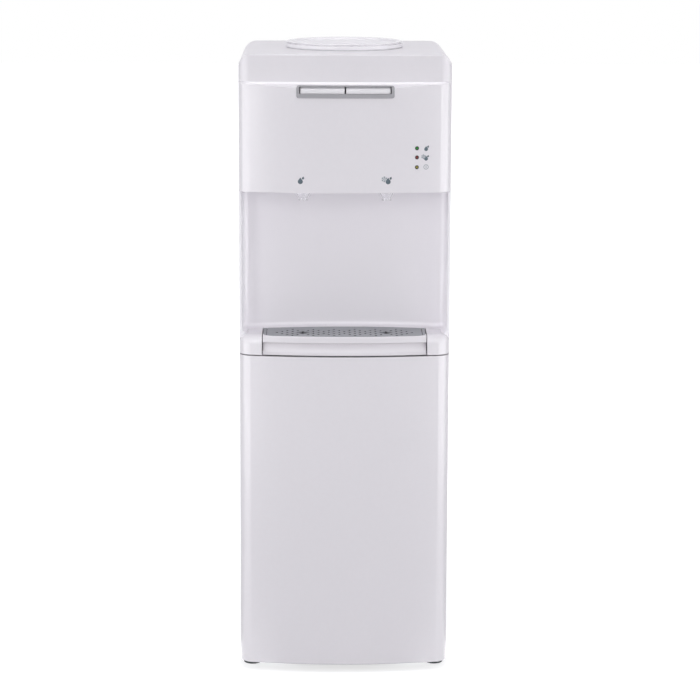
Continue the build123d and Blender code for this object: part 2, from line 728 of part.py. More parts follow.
def top_cover():
    """Top cover with the bottle opening, its collar, ribs beneath and a shadow line over the sides."""
    low_cut = bar(-HALF - 1, HALF + 1, FRONT - 1, REAR + 30, COVER_LOW - 30, COVER_LOW)
    skin = eased_cover()
    inner = cover_form(WALL)
    cover = skin - inner
    hole_low = COVER_TOP - 14
    ribs = Part()
    for x in (-40, 40):
        ribs += bar(x - 0.8, x + 0.8, FRONT, REAR, COVER_TOP - 10, COVER_TOP - 1)
    for y in (-80, 90):
        ribs += bar(-HALF, HALF, y - 0.8, y + 0.8, COVER_TOP - 10, COVER_TOP - 1)
    cover += ribs & inner
    ring = upright(COVER_HOLE_R + WALL, 0, BOTTLE_Y, hole_low, COVER_TOP - 1)
    cover += ring
    cover -= upright(COVER_HOLE_R, 0, BOTTLE_Y, hole_low - 1, COVER_TOP + 5)
    rim_high = COVER_LOW + COVER_RABBET
    inset = HALF - COVER_RABBET
    rabbet = bar(-HALF - 1, HALF + 1, MOULDING_BACK, REAR + 1, COVER_LOW - 1, rim_high)
    rabbet -= bar(-inset, inset, MOULDING_BACK - 1, REAR - COVER_RABBET, COVER_LOW - 2, rim_high + 1)
    return cover - low_cut - rabbet


def collar_gasket():
    """Flat silicone ring between the cover and the bottle collar."""
    ring = upright(86.5, 0, BOTTLE_Y, COVER_TOP, COVER_TOP + 1)
    return ring - upright(77.5, 0, BOTTLE_Y, COVER_TOP - 1, COVER_TOP + 2)


def bottle_collar():
    """Stepped collar, funnel and throat that take the bottle's shoulder and neck."""
    flange = COVER_TOP + 1
    profile = [
        (75.5, flange),
        (COLLAR_R - 0.6, flange),
        (COLLAR_R, flange + 0.6),
        (COLLAR_R, HEIGHT - 3.4),
        (RIM_R - 2, HEIGHT - 2.8),
        (RIM_R - 2, HEIGHT - 1.8),
        (RIM_R, HEIGHT - 1.4),
        (RIM_R, HEIGHT - 0.5),
        (RIM_R - 0.6, HEIGHT),
        (80.6, HEIGHT),
        (79, HEIGHT - 0.8),
        (78, HEIGHT - 3.5),
        (THROAT_R + 3, 909),
        (THROAT_R, 903),
        (THROAT_R, THROAT_FLOOR + 2.5),
        (8.2, THROAT_FLOOR + 2.5),
        (8.2, THROAT_FLOOR),
        (THROAT_R + 1.2, THROAT_FLOOR),
        (THROAT_R + 2.4, THROAT_FLOOR + 1.2),
        (THROAT_R + 2.4, 902.4),
        (THROAT_R + 4.6, 906.8),
        (75.5, flange - 0.4),
    ]
    collar = turned(profile, 0, BOTTLE_Y)
    ribs = Part()
    for turn in range(6):
        rib = Plane.XZ * make_face(
            Polyline((31, 896), (40, 908), (66, 930), (66, 934), (31, 905), close=True)
        )
        blade = extrude(rib, amount=0.7, both=True)
        ribs += Pos(0, BOTTLE_Y, 0) * Rot(0, 0, 60 * turn + 30) * blade
    core = turned([(0, 880), (31, 880), (31, 903), (35, 909), (78, 947), (78, 960), (0, 960)], 0, BOTTLE_Y)
    return collar + (ribs - core)


def feed_spike():
    """Probe that opens the bottle's cap: flange, tube, side windows and domed tip."""
    flange = THROAT_FLOOR + 2.5
    profile = [
        (5, 852),
        (SPIKE_R, 852),
        (SPIKE_R, flange),
        (15, flange),
        (15, flange + 2),
        (SPIKE_R + 1.5, flange + 3.5),
        (SPIKE_R, flange + 8),
        (SPIKE_R, 924),
        (6.6, 928.5),
        (4.2, 931.5),
        (0, 933),
        (0, 929),
        (4, 925),
        (5, 921),
    ]
    spike = turned(profile, 0, BOTTLE_Y)
    for turn in range(4):
        window = bar(3, 10, -2.2, 2.2, 902, 918)
        spike -= Pos(0, BOTTLE_Y, 0) * Rot(0, 0, 90 * turn) * window
    return spike


# ---- cold tank ----
def cold_tank():
    """Deep-drawn steel cup with a rolled rim and a bottom outlet for each line."""
    wall = 1.0
    profile = [
        (0, TANK_LOW),
        (TANK_R - 8, TANK_LOW),
        (TANK_R - 2, TANK_LOW + 2),
        (TANK_R, TANK_LOW + 8),
        (TANK_R, TANK_HIGH - 2),
        (TANK_R + 3, TANK_HIGH - 2),
        (TANK_R + 3, TANK_HIGH),
        (TANK_R - wall, TANK_HIGH),
        (TANK_R - wall, TANK_LOW + 8),
        (TANK_R - wall - 2, TANK_LOW + 3),
        (TANK_R - 8, TANK_LOW + wall),
        (0, TANK_LOW + wall),
    ]
    tank = turned(profile, 0, BOTTLE_Y)
    tank -= upright(5, 0, BOTTLE_Y, TANK_LOW - 1, TANK_LOW + 3)
    return tank - upright(3, TAP_X, COLD_HOSE_Y, TANK_LOW - 1, TANK_LOW + 3)


def tank_lid():
    """Moulded lid with a stepped neck for the probe and a vent stub."""
    top = TANK_HIGH + 4
    profile = [
        (11, TANK_HIGH),
        (TANK_R + 4.5, TANK_HIGH),
        (TANK_R + 4.5, top),
        (TANK_R - 4, top),
        (TANK_R - 8, top - 1.5),
        (24, top - 1.5),
        (20, top + 4),
        (11, top + 4),
    ]
    lid = turned(profile, 0, BOTTLE_Y)
    vent = upright(4, 0, VENT_Y, top - 2, top + 8) - upright(2, 0, VENT_Y, TANK_HIGH - 1, top + 9)
    return lid - upright(2, 0, VENT_Y, TANK_HIGH - 1, top + 1) + vent


def tank_baffle():
    """Disc that keeps incoming water off the chilled water, and its tube down to the boiler."""
    level = 815
    profile = [(6, level), (TANK_R - 6, level), (TANK_R - 6, level + 2), (9, level + 6), (6, level + 6)]
    disc = turned(profile, 0, BOTTLE_Y)
    tube = [
        (4, HOT_HIGH),
        (4.9, HOT_HIGH),
        (4.9, TANK_LOW + 1),
        (7.2, TANK_LOW + 1),
        (7.2, level + 1),
        (4, level + 1),
    ]
    for turn in range(3):
        place = Pos(0, BOTTLE_Y, 0) * Rot(0, 0, 120 * turn + 30)
        disc += place * bar(64, 68, -3, 3, TANK_LOW + 1, level + 1)
    return disc + turned(tube, 0, BOTTLE_Y)


def evaporator_band():
    """Evaporator wound on the cold tank, as the band that its turns fill."""
    low, high = TANK_LOW + 14, TANK_HIGH - 20
    return upright(JACKET_R, 0, BOTTLE_Y, low, high) - upright(TANK_R, 0, BOTTLE_Y, low - 1, high + 1)


def tank_foam(rear):
    """Half of the foam shell round the cold tank."""
    low = DECK_Z + DECK_SHEET
    shell = upright(FOAM_R, 0, BOTTLE_Y, low, TANK_HIGH - 2.2)
    shell -= upright(JACKET_R + 0.2, 0, BOTTLE_Y, TANK_LOW, TANK_HIGH)
    shell -= upright(HOSE_R + 0.4, TAP_X, COLD_HOSE_Y, low - 1, TANK_LOW + 1)
    shell -= upright(7, 0, BOTTLE_Y, low - 1, TANK_LOW + 1)
    y0, y1 = (BOTTLE_Y, 130) if rear else (-130, BOTTLE_Y)
    return shell & bar(-130, 130, y0, y1, low - 1, TANK_HIGH + 1)


def tank_deck():
    """Folded steel deck that carries the cold tank between the sides."""
    half = HALF - SHEET
    low, high = DECK_Z, DECK_Z + DECK_SHEET
    deck = bar(-half, half, -100, REAR - 2 * SHEET, low, high)
    for side in (-1, 1):
        x0, x1 = sorted((side * half, side * (half - DECK_SHEET)))
        deck += bar(x0, x1, -60, REAR - 4, low, high + 22)
    deck -= upright(HOSE_R + 1.5, TAP_X, COLD_HOSE_Y, low - 1, high + 1)
    deck -= upright(9, 0, BOTTLE_Y, low - 1, high + 1)
    return deck - upright(6, RISER_X, COMPRESSOR_Y, low - 1, high + 1)


# ---- hot tank ----
def hot_tank():
    """Closed steel boiler with rounded ends and a bottom drain stub."""
    rim = 6
    profile = [
        (0, HOT_LOW),
        (HOT_R - rim, HOT_LOW),
        (HOT_R - 1.6, HOT_LOW + 1.8),
        (HOT_R, HOT_LOW + rim),
        (HOT_R, HOT_HIGH - rim),
        (HOT_R - 1.6, HOT_HIGH - 1.8),
        (HOT_R - rim, HOT_HIGH),
        (0, HOT_HIGH),
    ]
    return turned(profile, HOT_X, HOT_Y)


def hot_foam():
    """Foam block that the boiler stands in, on the middle shelf."""
    low = MID_SHELF_Z + SHELF_SHEET
    block = upright(HOT_FOAM_R, HOT_X, HOT_Y, low, HOT_HIGH - 6)
    block -= upright(HOT_R + 4, HOT_X, HOT_Y, HOT_LOW, HOT_HIGH)
    block -= upright(HOSE_R + 1, HOT_X, HOT_Y, low - 1, HOT_LOW + 1)
    channel = bar(HOT_X - HOSE_R - 1, HOT_X + HOSE_R + 1, HOT_Y, 130, low - 1, DRAIN_Z + 8)
    return block - channel


def heater_band():
    """Band heater clamped round the boiler."""
    low = HOT_LOW + 22
    band = upright(HOT_R + 3.4, HOT_X, HOT_Y, low, low + 42)
    band -= upright(HOT_R, HOT_X, HOT_Y, low - 1, low + 43)
    return band - bar(HOT_X - 4, HOT_X + 4, HOT_Y + HOT_R - 2, HOT_Y + HOT_R + 5, low - 1, low + 43)


def thermostats():
    """Two disc thermostats on top of the boiler."""
    profile = [
        (0, HOT_HIGH),
        (8, HOT_HIGH),
        (8, HOT_HIGH + 4),
        (5, HOT_HIGH + 5),
        (5, HOT_HIGH + 9),
        (0, HOT_HIGH + 9),
    ]
    discs = Part()
    for x, y in ((HOT_X + 2, HOT_Y + 26), (HOT_X - 24, HOT_Y + 22)):
        discs += turned(profile, x, y)
    return discs


def drain_hose():
    """Hose from the boiler's bottom to the rear outlet."""
    points = [(HOT_X, HOT_Y, HOT_LOW), (HOT_X, HOT_Y, DRAIN_Z), (HOT_X, REAR - 16, DRAIN_Z)]
    return hose(points, 10, HOSE_R, HOSE_BORE_R)


def mid_shelf():
    """Folded steel shelf under the boiler."""
    half = HALF - SHEET
    low, high = MID_SHELF_Z, MID_SHELF_Z + SHELF_SHEET
    shelf = bar(-half, half, -56, REAR - 2 * SHEET, low, high)
    for side in (-1, 1):
        x0, x1 = sorted((side * half, side * (half - SHELF_SHEET)))
        shelf += bar(x0, x1, -56, REAR - 4, low, high + 16)
    shelf += bar(-half + 2, half - 2, -56, -56 + SHELF_SHEET, low - 12, high)
    return shelf - upright(6, RISER_X, COMPRESSOR_Y, low - 1, high + 1)


# ---- cooling unit ----
def compressor():
    """Sealed compressor: domed shell with a weld flange, on a foot plate."""
    foot_z = COMPRESSOR_FOOT_Z
    low, seam, high = foot_z + 2, foot_z + 62, foot_z + 136
    plan = RectangleRounded(2 * COMPRESSOR_RX, 2 * COMPRESSOR_RY, COMPRESSOR_CORNER)
    shell = prism(plan, low, high)
    shell = fillet(shell.edges().group_by(Axis.Z)[-1], 34)
    shell = fillet(shell.edges().group_by(Axis.Z)[0], 18)
    lap = RectangleRounded(2 * COMPRESSOR_RX + 6, 2 * COMPRESSOR_RY + 6, COMPRESSOR_CORNER + 3)
    unit = shell + prism(lap, seam, seam + 4)
    plate = Pos(0, 0, foot_z) * RectangleRounded(2 * 72, 2 * 56, 12)
    unit += extrude(plate, amount=2.4)
    for x in (-MOUNT_X, MOUNT_X):
        for y in (-MOUNT_Y, MOUNT_Y):
            unit -= upright(5.2, x, y, foot_z - 1, foot_z + 4)
    unit += Pos(-COMPRESSOR_RX + 2, 0, SUCTION_Z) * Rot(0, 90, 0) * Cylinder(5, 16)
    outlet = Pos(-COMPRESSOR_RX + 1, DISCHARGE_Y - COMPRESSOR_Y, DISCHARGE_Z)
    unit += outlet * Rot(0, 90, 0) * Cylinder(4, 14)
    return Pos(COMPRESSOR_X, COMPRESSOR_Y, 0) * unit


def compressor_grommets():
    """Four waisted rubber mounts with their steel studs' caps."""
    low = BASE_Z + PAN_SHEET + RAIL_HEIGHT
    top = low + GROMMET_HEIGHT
    profile = [
        (0, low),
        (9, low),
        (9, low + 3),
        (7, low + 5),
        (9, top - 2),
        (9, top),
        (5, top),
        (5, top + 2.4),
        (7, top + 2.4),
        (7, top + 4),
        (0, top + 4),
    ]
    mounts = Part()
    for x in (-MOUNT_X, MOUNT_X):
        for y in (-MOUNT_Y, MOUNT_Y):
            mounts += turned(profile, COMPRESSOR_X + x, COMPRESSOR_Y + y)
    return mounts


def terminal_cover():
    """Moulded cover over the compressor's terminals."""
    x0 = COMPRESSOR_X + COMPRESSOR_RX + 3.2
    cover = bar(x0, x0 + 20, COMPRESSOR_Y - 22, COMPRESSOR_Y + 22, 66, 118)
    cover = fillet(cover.edges().group_by(Axis.X)[-1], 4)
    return cover - bar(x0 - 1, x0 + 17, COMPRESSOR_Y - 19.5, COMPRESSOR_Y + 19.5, 68.5, 115.5)


def suction_line():
    """Copper pipe from the evaporator down to the compressor."""
    stub_x = COMPRESSOR_X - COMPRESSOR_RX - 6
    reach_x, reach_y = -FOAM_R * 0.8, BOTTLE_Y + FOAM_R * 0.6
    reach_z = 800
    points = [
        (stub_x, COMPRESSOR_Y, SUCTION_Z),
        (RISER_X, COMPRESSOR_Y, SUCTION_Z),
        (RISER_X, COMPRESSOR_Y, reach_z),
        (reach_x - 0.8, reach_y + 0.6, reach_z),
    ]
    return hose(points, 14, 3.2, 2.2)


def condenser():
    """Tube-and-wire condenser: one tube from the compressor to the drier, folded between rows of wires."""
    bend = COIL_PITCH / 2
    start_x = COMPRESSOR_X - COMPRESSOR_RX - 6
    riser_x = -COIL_HALF - 20
    inlet = [
        (start_x, DISCHARGE_Y, DISCHARGE_Z),
        (riser_x, DISCHARGE_Y, DISCHARGE_Z),
        (riser_x, COIL_Y, DISCHARGE_Z),
        (riser_x, COIL_Y, COIL_LOW),
        (-COIL_HALF, COIL_Y, COIL_LOW),
    ]
    outlet = [
        (COIL_HALF, COIL_Y, COIL_HIGH),
        (DRIER_X, COIL_Y, COIL_HIGH),
        (DRIER_X, COIL_Y, DRIER_TOP + 24),
        (DRIER_X, DRIER_Y, DRIER_TOP + 24),
        (DRIER_X, DRIER_Y, DRIER_TOP),
    ]
    route = [FilletPolyline(*inlet, radius=12)]
    for row in range(COIL_PASSES):
        z = COIL_LOW + row * COIL_PITCH
        end = COIL_HALF if row % 2 == 0 else -COIL_HALF
        route.append(Line((-end, COIL_Y, z), (end, COIL_Y, z)))
        if row < COIL_PASSES - 1:
            out = end + math.copysign(bend, end)
            turn = ((end, COIL_Y, z), (out, COIL_Y, z + bend), (end, COIL_Y, z + COIL_PITCH))
            route.append(ThreePointArc(*turn))
    route.append(FilletPolyline(*outlet, radius=12))
    path = Wire([edge for piece in route for edge in piece.edges()])
    start = Plane(origin=inlet[0], z_dir=(-1, 0, 0))
    tube = sweep(start * Circle(COIL_TUBE_R), path=path)
    low, high = COIL_LOW - 12, COIL_HIGH + 12
    solids = [*tube.solids()]
    for offset in (-COIL_TUBE_R - WIRE / 2 - 0.02, COIL_TUBE_R + WIRE / 2 + 0.02):
        for step in range(WIRE_COUNT):
            x = -COIL_HALF + 2 * COIL_HALF * step / (WIRE_COUNT - 1)
            y = COIL_Y + offset
            solids.append(bar(x - WIRE / 2, x + WIRE / 2, y - WIRE / 2, y + WIRE / 2, low, high).solid())
    return Compound(children=solids)


def condenser_brackets():
    """Four spacers that hold the condenser off the rear panel and the body off the wall."""
    spacers = Part()
    half = 5
    for x in (-COIL_HALF + 24, COIL_HALF - 24):
        for z in (COIL_LOW, COIL_HIGH):
            outline = [
                (REAR, z - 11),
                (REAR + 3, z - 11),
                (DEPTH / 2, z - 6),
                (DEPTH / 2, z + 6),
                (REAR + 3, z + 11),
                (REAR, z + 11),
            ]
            block = side_prism(outline, x - half, x + half)
            spacers += block - Pos(x, COIL_Y, z) * Rot(0, 90, 0) * Cylinder(COIL_TUBE_R + 0.03, 4 * half)
    return spacers


def filter_drier():
    """Copper drier with spun ends, beside the compressor."""
    profile = [
        (0, DRIER_TOP - 104),
        (1.6, DRIER_TOP - 104),
        (2.4, DRIER_TOP - 92),
        (8, DRIER_TOP - 82),
        (8, DRIER_TOP - 14),
        (3.4, DRIER_TOP - 8),
        (3.4, DRIER_TOP),
        (0, DRIER_TOP),
    ]
    return turned(profile, DRIER_X, DRIER_Y)


# ---- rear fittings ----
def switch_housing():
    """Rear switch frame with two rocker wells."""
    frame = Pos(SWITCH_X, SWITCH_Z) * RectangleRounded(52, 37, 3)
    housing = front_prism(frame, REAR, REAR + 2.5)
    housing += bar(SWITCH_X - 22.8, SWITCH_X + 22.8, REAR - 16, REAR + 1, SWITCH_Z - 15.3, SWITCH_Z + 15.3)
    for x in (SWITCH_X - ROCKER_PITCH / 2, SWITCH_X + ROCKER_PITCH / 2):
        half_w, half_h = ROCKER_HALF_W + 0.5, ROCKER_HALF_H + 0.6
        housing -= bar(x - half_w, x + half_w, REAR - 14, REAR + 4, SWITCH_Z - half_h, SWITCH_Z + half_h)
        housing -= Pos(x, ROCKER_Y, SWITCH_Z) * Rot(0, 90, 0) * Cylinder(ROCKER_PIN_R + 0.05, 19)
    return housing


def rocker(x):
    """A rocker with two finger slopes on its pins, tipped to its off position."""
    half_h, half_w = ROCKER_HALF_H - 0.6, ROCKER_HALF_W
    outline = [
        (REAR - 9, 5),
        (REAR - 5, half_h),
        (REAR + 2, half_h),
        (REAR + 0.8, 0),
        (REAR + 2, -half_h),
        (REAR - 5, -half_h),
        (REAR - 9, -5),
    ]
    pivot = Pos(0, ROCKER_Y, 0)
    body = side_prism(outline, x - half_w, x + half_w)
    body += Pos(x, ROCKER_Y, 0) * Rot(0, 90, 0) * Cylinder(ROCKER_PIN_R, 18)
    tipped = pivot * Rot(-ROCKER_TILT, 0, 0) * pivot.inverse() * body
    return Pos(0, 0, SWITCH_Z) * tipped


def drain_outlet():
    """Threaded outlet on the rear panel."""
    profile = [
        (3, REAR - 18),
        (3.9, REAR - 18),
        (3.9, REAR - 4),
        (13, REAR - 4),
        (13, REAR - SHEET),
        (9, REAR - SHEET),
        (9, REAR + 1.5),
        (7.5, REAR + 1.8),
        (7.5, REAR + 8),
        (3, REAR + 8),
    ]
    return turned_level(profile, HOT_X, DRAIN_Z)


def drain_cap():
    """Ribbed screw cap of the drain outlet."""
    profile = [
        (7.8, REAR + 2),
        (10.5, REAR + 2),
        (10.5, REAR + 10.5),
        (9.5, REAR + 11.5),
        (0, REAR + 11.5),
        (0, REAR + 8.4),
        (7.8, REAR + 8.4),
    ]
    cap = turned_level(profile, HOT_X, DRAIN_Z)
    for turn in range(8):
        place = Pos(HOT_X, 0, DRAIN_Z) * Rot(0, 45 * turn, 0)
        cap += place * bar(10, 11.4, REAR + 3, REAR + 10, -1, 1)
    return cap


def inlet_gland():
    """Grommet in the rear panel where the supply enters."""
    profile = [
        (4, REAR - 4),
        (9, REAR - 4),
        (9, REAR - SHEET),
        (7, REAR - SHEET),
        (7, REAR),
        (9, REAR),
        (8, REAR + 3),
        (4, REAR + 3),
    ]
    return turned_level(profile, GLAND_X, GLAND_Z)


def assemble():
    """Every piece under its name."""
    pieces = {"feet_front": foot_pair(FOOT_FRONT_Y), "feet_rear": foot_pair(FOOT_REAR_Y)}
    pieces["base_plate"] = base_plate()
    pieces["side_panel_left"] = side_panel(-1)
    pieces["side_panel_right"] = side_panel(1)
    pieces["rear_panel"] = rear_panel()
    pieces["lower_front_panel"] = lower_front_panel()
    pieces["tray_housing"] = tray_housing()
    pieces["drip_tray"] = drip_tray()
    pieces["drip_grille"] = drip_grille()
    pieces["alcove_liner"] = alcove_liner()
    pieces["upper_fascia"] = upper_fascia()
    pieces["key_bezel"] = key_bezel()
    pieces["key_pin"] = key_pin()
    for name, side in (("hot", -1), ("cold", 1)):
        x = side * TAP_X
        pieces[f"key_{name}"] = push_key(side)
        pieces[f"tap_body_{name}"] = tap_body(x)
        pieces[f"tap_plunger_{name}"] = tap_plunger(x)
        pieces[f"tap_spring_{name}"] = tap_spring(x)
        pieces[f"tap_nozzle_{name}"] = tap_nozzle(x)
    pieces["hose_hot"] = tap_hose(-TAP_X, HOT_Y, HOT_HIGH)
    pieces["hose_cold"] = tap_hose(TAP_X, COLD_HOSE_Y, TANK_LOW)
    for colour, z in LAMP_Z.items():
        pieces[f"lamp_{colour}"] = lamp(z)
    pieces["lamp_board"] = lamp_board()
    pieces["top_cover"] = top_cover()
    pieces["collar_gasket"] = collar_gasket()
    pieces["bottle_collar"] = bottle_collar()
    pieces["feed_spike"] = feed_spike()
    pieces["cold_tank"] = cold_tank()
    pieces["tank_lid"] = tank_lid()
    pieces["tank_baffle"] = tank_baffle()
    pieces["evaporator_band"] = evaporator_band()
    pieces["tank_foam_front"] = tank_foam(False)
    pieces["tank_foam_rear"] = tank_foam(True)
    pieces["tank_deck"] = tank_deck()
    pieces["hot_tank"] = hot_tank()
    pieces["hot_foam"] = hot_foam()
    pieces["heater_band"] = heater_band()
    pieces["thermostats"] = thermostats()
    pieces["drain_hose"] = drain_hose()
    pieces["mid_shelf"] = mid_shelf()
    pieces["compressor"] = compressor()
    pieces["compressor_grommets"] = compressor_grommets()
    pieces["terminal_cover"] = terminal_cover()
    pieces["suction_line"] = suction_line()
    pieces["condenser"] = condenser()
    pieces["condenser_brackets"] = condenser_brackets()
    pieces["filter_drier"] = filter_drier()
    pieces["switch_housing"] = switch_housing()
    pieces["rocker_heat"] = rocker(SWITCH_X - ROCKER_PITCH / 2)
    pieces["rocker_cool"] = rocker(SWITCH_X + ROCKER_PITCH / 2)
    pieces["drain_outlet"] = drain_outlet()
    pieces["drain_cap"] = drain_cap()
    pieces["inlet_gland"] = inlet_gland()
    return pieces


os.makedirs("parts", exist_ok=True)
for name, piece in assemble().items():
    export_step(piece, f"parts/{name}.step")
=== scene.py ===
import math

import bmesh
import bpy
from mathutils import Matrix, Vector


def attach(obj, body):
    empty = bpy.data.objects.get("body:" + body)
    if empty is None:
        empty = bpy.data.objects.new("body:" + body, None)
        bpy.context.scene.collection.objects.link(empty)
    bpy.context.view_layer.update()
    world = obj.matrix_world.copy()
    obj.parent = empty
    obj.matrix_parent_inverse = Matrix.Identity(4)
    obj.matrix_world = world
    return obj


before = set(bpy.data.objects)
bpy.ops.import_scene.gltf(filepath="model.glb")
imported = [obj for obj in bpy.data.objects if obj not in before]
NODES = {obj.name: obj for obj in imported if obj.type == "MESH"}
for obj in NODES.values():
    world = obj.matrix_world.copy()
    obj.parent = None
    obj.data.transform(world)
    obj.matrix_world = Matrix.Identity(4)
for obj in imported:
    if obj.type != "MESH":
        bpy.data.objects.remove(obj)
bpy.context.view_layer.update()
scene = bpy.context.scene
MM = 0.001

# ---- the body's named places, in millimetres ----
FRONT = -161.5
BOW_RADIUS = 740.0
REAR = 150.0
CHEEK_INNER, CHEEK_OUTER = 146.0, 152.0
LAMP_X = 105.5
LAMP_RADIUS = 2.6

# ---- tones that several materials share ----
UNTINTED = (1, 1, 1, 1)
DEEP_SHADE = (0.08, 0.06, 0.07, 1)


def linear(r, g, b):
    """An 8-bit sRGB colour as linear values."""

    def one(v):
        v /= 255
        return v / 12.92 if v <= 0.04045 else ((v + 0.055) / 1.055) ** 2.4

    return (one(r), one(g), one(b), 1.0)


def toned(colour, factor, lift=0.0):
    """A linear colour made darker or lighter, and no brighter than white."""
    return tuple(min(1.0, c * factor + lift) for c in colour[:3]) + (1.0,)


def fill_ramp(node, stops):
    """Set the stops of a colour ramp node."""
    elements = node.color_ramp.elements
    while len(elements) < len(stops):
        elements.new(0.5)
    for element, (place, colour) in zip(elements, stops):
        element.position, element.color = place, colour


def set_range(node, start, end, low=0.0, high=1.0):
    """Set what a map range node maps from and to."""
    for key, value in (("From Min", start), ("From Max", end), ("To Min", low), ("To Max", high)):
        node.inputs[key].default_value = value


class Surface:
    """A node material under construction."""

    def __init__(self, name):
        self.material = bpy.data.materials.new(name)
        self.material.use_nodes = True
        self.tree = self.material.node_tree
        self.shader = self.tree.nodes["Principled BSDF"]
        self.place = self.add("ShaderNodeTexCoord").outputs["Object"]
        self.normal = None

    def add(self, kind, **settings):
        """Add a node with its settings."""
        node = self.tree.nodes.new(kind)
        for key, value in settings.items():
            setattr(node, key, value)
        return node

    def link(self, output, socket):
        """Link an output to a socket."""
        self.tree.links.new(output, socket)

    def constant(self, **values):
        """Set the shader's plain values, with an underscore for each space."""
        for key, value in values.items():
            self.shader.inputs[key.replace("_", " ")].default_value = value

    def scaled(self, scale, turn=(0, 0, 0)):
        """The object coordinates, scaled and turned."""
        mapping = self.add("ShaderNodeMapping")
        mapping.inputs["Scale"].default_value = scale
        mapping.inputs["Rotation"].default_value = turn
        self.link(self.place, mapping.inputs["Vector"])
        return mapping.outputs["Vector"]

    def noise(self, scale, detail=3.0, rough=0.5, stretch=None):
        """Noise, stretched along an axis if asked."""
        node = self.add("ShaderNodeTexNoise")
        node.inputs["Scale"].default_value = scale
        node.inputs["Detail"].default_value = detail
        node.inputs["Roughness"].default_value = rough
        self.link(self.scaled(stretch) if stretch else self.place, node.inputs["Vector"])
        return node.outputs["Fac"]

    def cells(self, scale, output="Distance"):
        """Cells, as the distance to their middles or as a colour each."""
        node = self.add("ShaderNodeTexVoronoi")
        node.inputs["Scale"].default_value = scale
        self.link(self.place, node.inputs["Vector"])
        return node.outputs[output]

    def ramp(self, factor, stops):
        """A colour from a factor, by stops of place and colour."""
        node = self.add("ShaderNodeValToRGB")
        fill_ramp(node, stops)
        self.link(factor, node.inputs["Fac"])
        return node.outputs["Color"]

    def mix(self, factor, first, second, blend="MIX"):
        """Two colours blended."""
        node = self.add("ShaderNodeMix", data_type="RGBA", blend_type=blend)
        for index, value in ((0, factor), (6, first), (7, second)):
            if isinstance(value, (int, float, tuple)):
                node.inputs[index].default_value = value
            else:
                self.link(value, node.inputs[index])
        return node.outputs[2]

    def span(self, factor, low, high, start=0.3, end=0.7):
        """A factor from start to end as a value from low to high."""
        node = self.add("ShaderNodeMapRange")
        set_range(node, start, end, low, high)
        self.link(factor, node.inputs["Value"])
        return node.outputs["Result"]

    def bump(self, height, strength, distance):
        """Bump on top of the bumps so far."""
        node = self.add("ShaderNodeBump")
        node.inputs["Strength"].default_value = strength
        node.inputs["Distance"].default_value = distance
        self.link(height, node.inputs["Height"])
        if self.normal is not None:
            self.link(self.normal, node.inputs["Normal"])
        self.normal = node.outputs["Normal"]

    def soft_edges(self, radius):
        """Rounded shading at edges, called before any bump."""
        node = self.add("ShaderNodeBevel", samples=4)
        node.inputs["Radius"].default_value = radius
        self.normal = node.outputs["Normal"]

    def occlusion(self, distance, **settings):
        """How open a place is, from 0 in a hollow to 1 in the open."""
        node = self.add("ShaderNodeAmbientOcclusion", samples=8, **settings)
        node.inputs["Distance"].default_value = distance
        return node.outputs["AO"]

    def close(self, colour, roughness):
        """Link what was built to the shader and give the material."""
        self.link(colour, self.shader.inputs["Base Color"])
        self.link(roughness, self.shader.inputs["Roughness"])
        if self.normal is not None:
            self.link(self.normal, self.shader.inputs["Normal"])
        return self.material


def drifted(s, low, high):
    """A slow drift between two tones over a large moulding."""
    return s.ramp(s.noise(5.0, 4.0, 0.55), [(0.35, low), (0.65, high)])


def skin(s):
    """The soft edges and fine grain of a moulding."""
    s.soft_edges(0.0006)
    s.bump(s.noise(900.0, 2.0, 0.5), 0.16, 0.00002)


def moulded(name, colour, roughness=0.22, shift=0.006, coat=0.0):
    """Injection-moulded plastic: faint colour drift, fine grain, slow waves and soft edges."""
    s = Surface(name)
    base = linear(*colour)
    drift = drifted(s, toned(base, 1 - shift), toned(base, 1 + shift))
    specks = s.ramp(s.noise(160.0, 2.0, 0.6), [(0.40, (0.993, 0.993, 0.993, 1)), (0.62, UNTINTED)])
    skin(s)
    s.bump(s.noise(14.0, 1.0, 0.4), 0.05, 0.0003)
    smudge = s.span(s.noise(22.0, 3.0, 0.5), roughness - 0.02, roughness + 0.025)
    s.constant(Specular_IOR_Level=0.5, Coat_Weight=coat, Coat_Roughness=0.12)
    return s.close(s.mix(1.0, drift, specks, "MULTIPLY"), smudge)


def painted(name, colour, roughness=0.36):
    """Painted sheet steel: orange peel over a smooth sheet."""
    s = Surface(name)
    base = linear(*colour)
    drift = s.ramp(s.noise(3.0, 3.0, 0.5), [(0.35, toned(base, 0.975)), (0.65, base)])
    s.soft_edges(0.0005)
    s.bump(s.noise(420.0, 2.0, 0.45), 0.22, 0.00004)
    s.bump(s.noise(6.0, 1.0, 0.4), 0.12, 0.0008)
    return s.close(drift, s.span(s.noise(30.0, 4.0, 0.6), roughness - 0.04, roughness + 0.06))


def rubber(name, colour, roughness=0.75):
    """Rubber or soft silicone: matt, speckled, with faint paler dust in patches."""
    s = Surface(name)
    base = linear(*colour)
    dust = toned(base, 1.25, 0.006)
    tone = s.ramp(s.noise(60.0, 5.0, 0.65), [(0.42, base), (0.75, dust)])
    s.soft_edges(0.0006)
    s.bump(s.noise(1100.0, 3.0, 0.6), 0.35, 0.00006)
    return s.close(tone, s.span(s.noise(35.0, 4.0, 0.6), roughness - 0.08, roughness + 0.1))


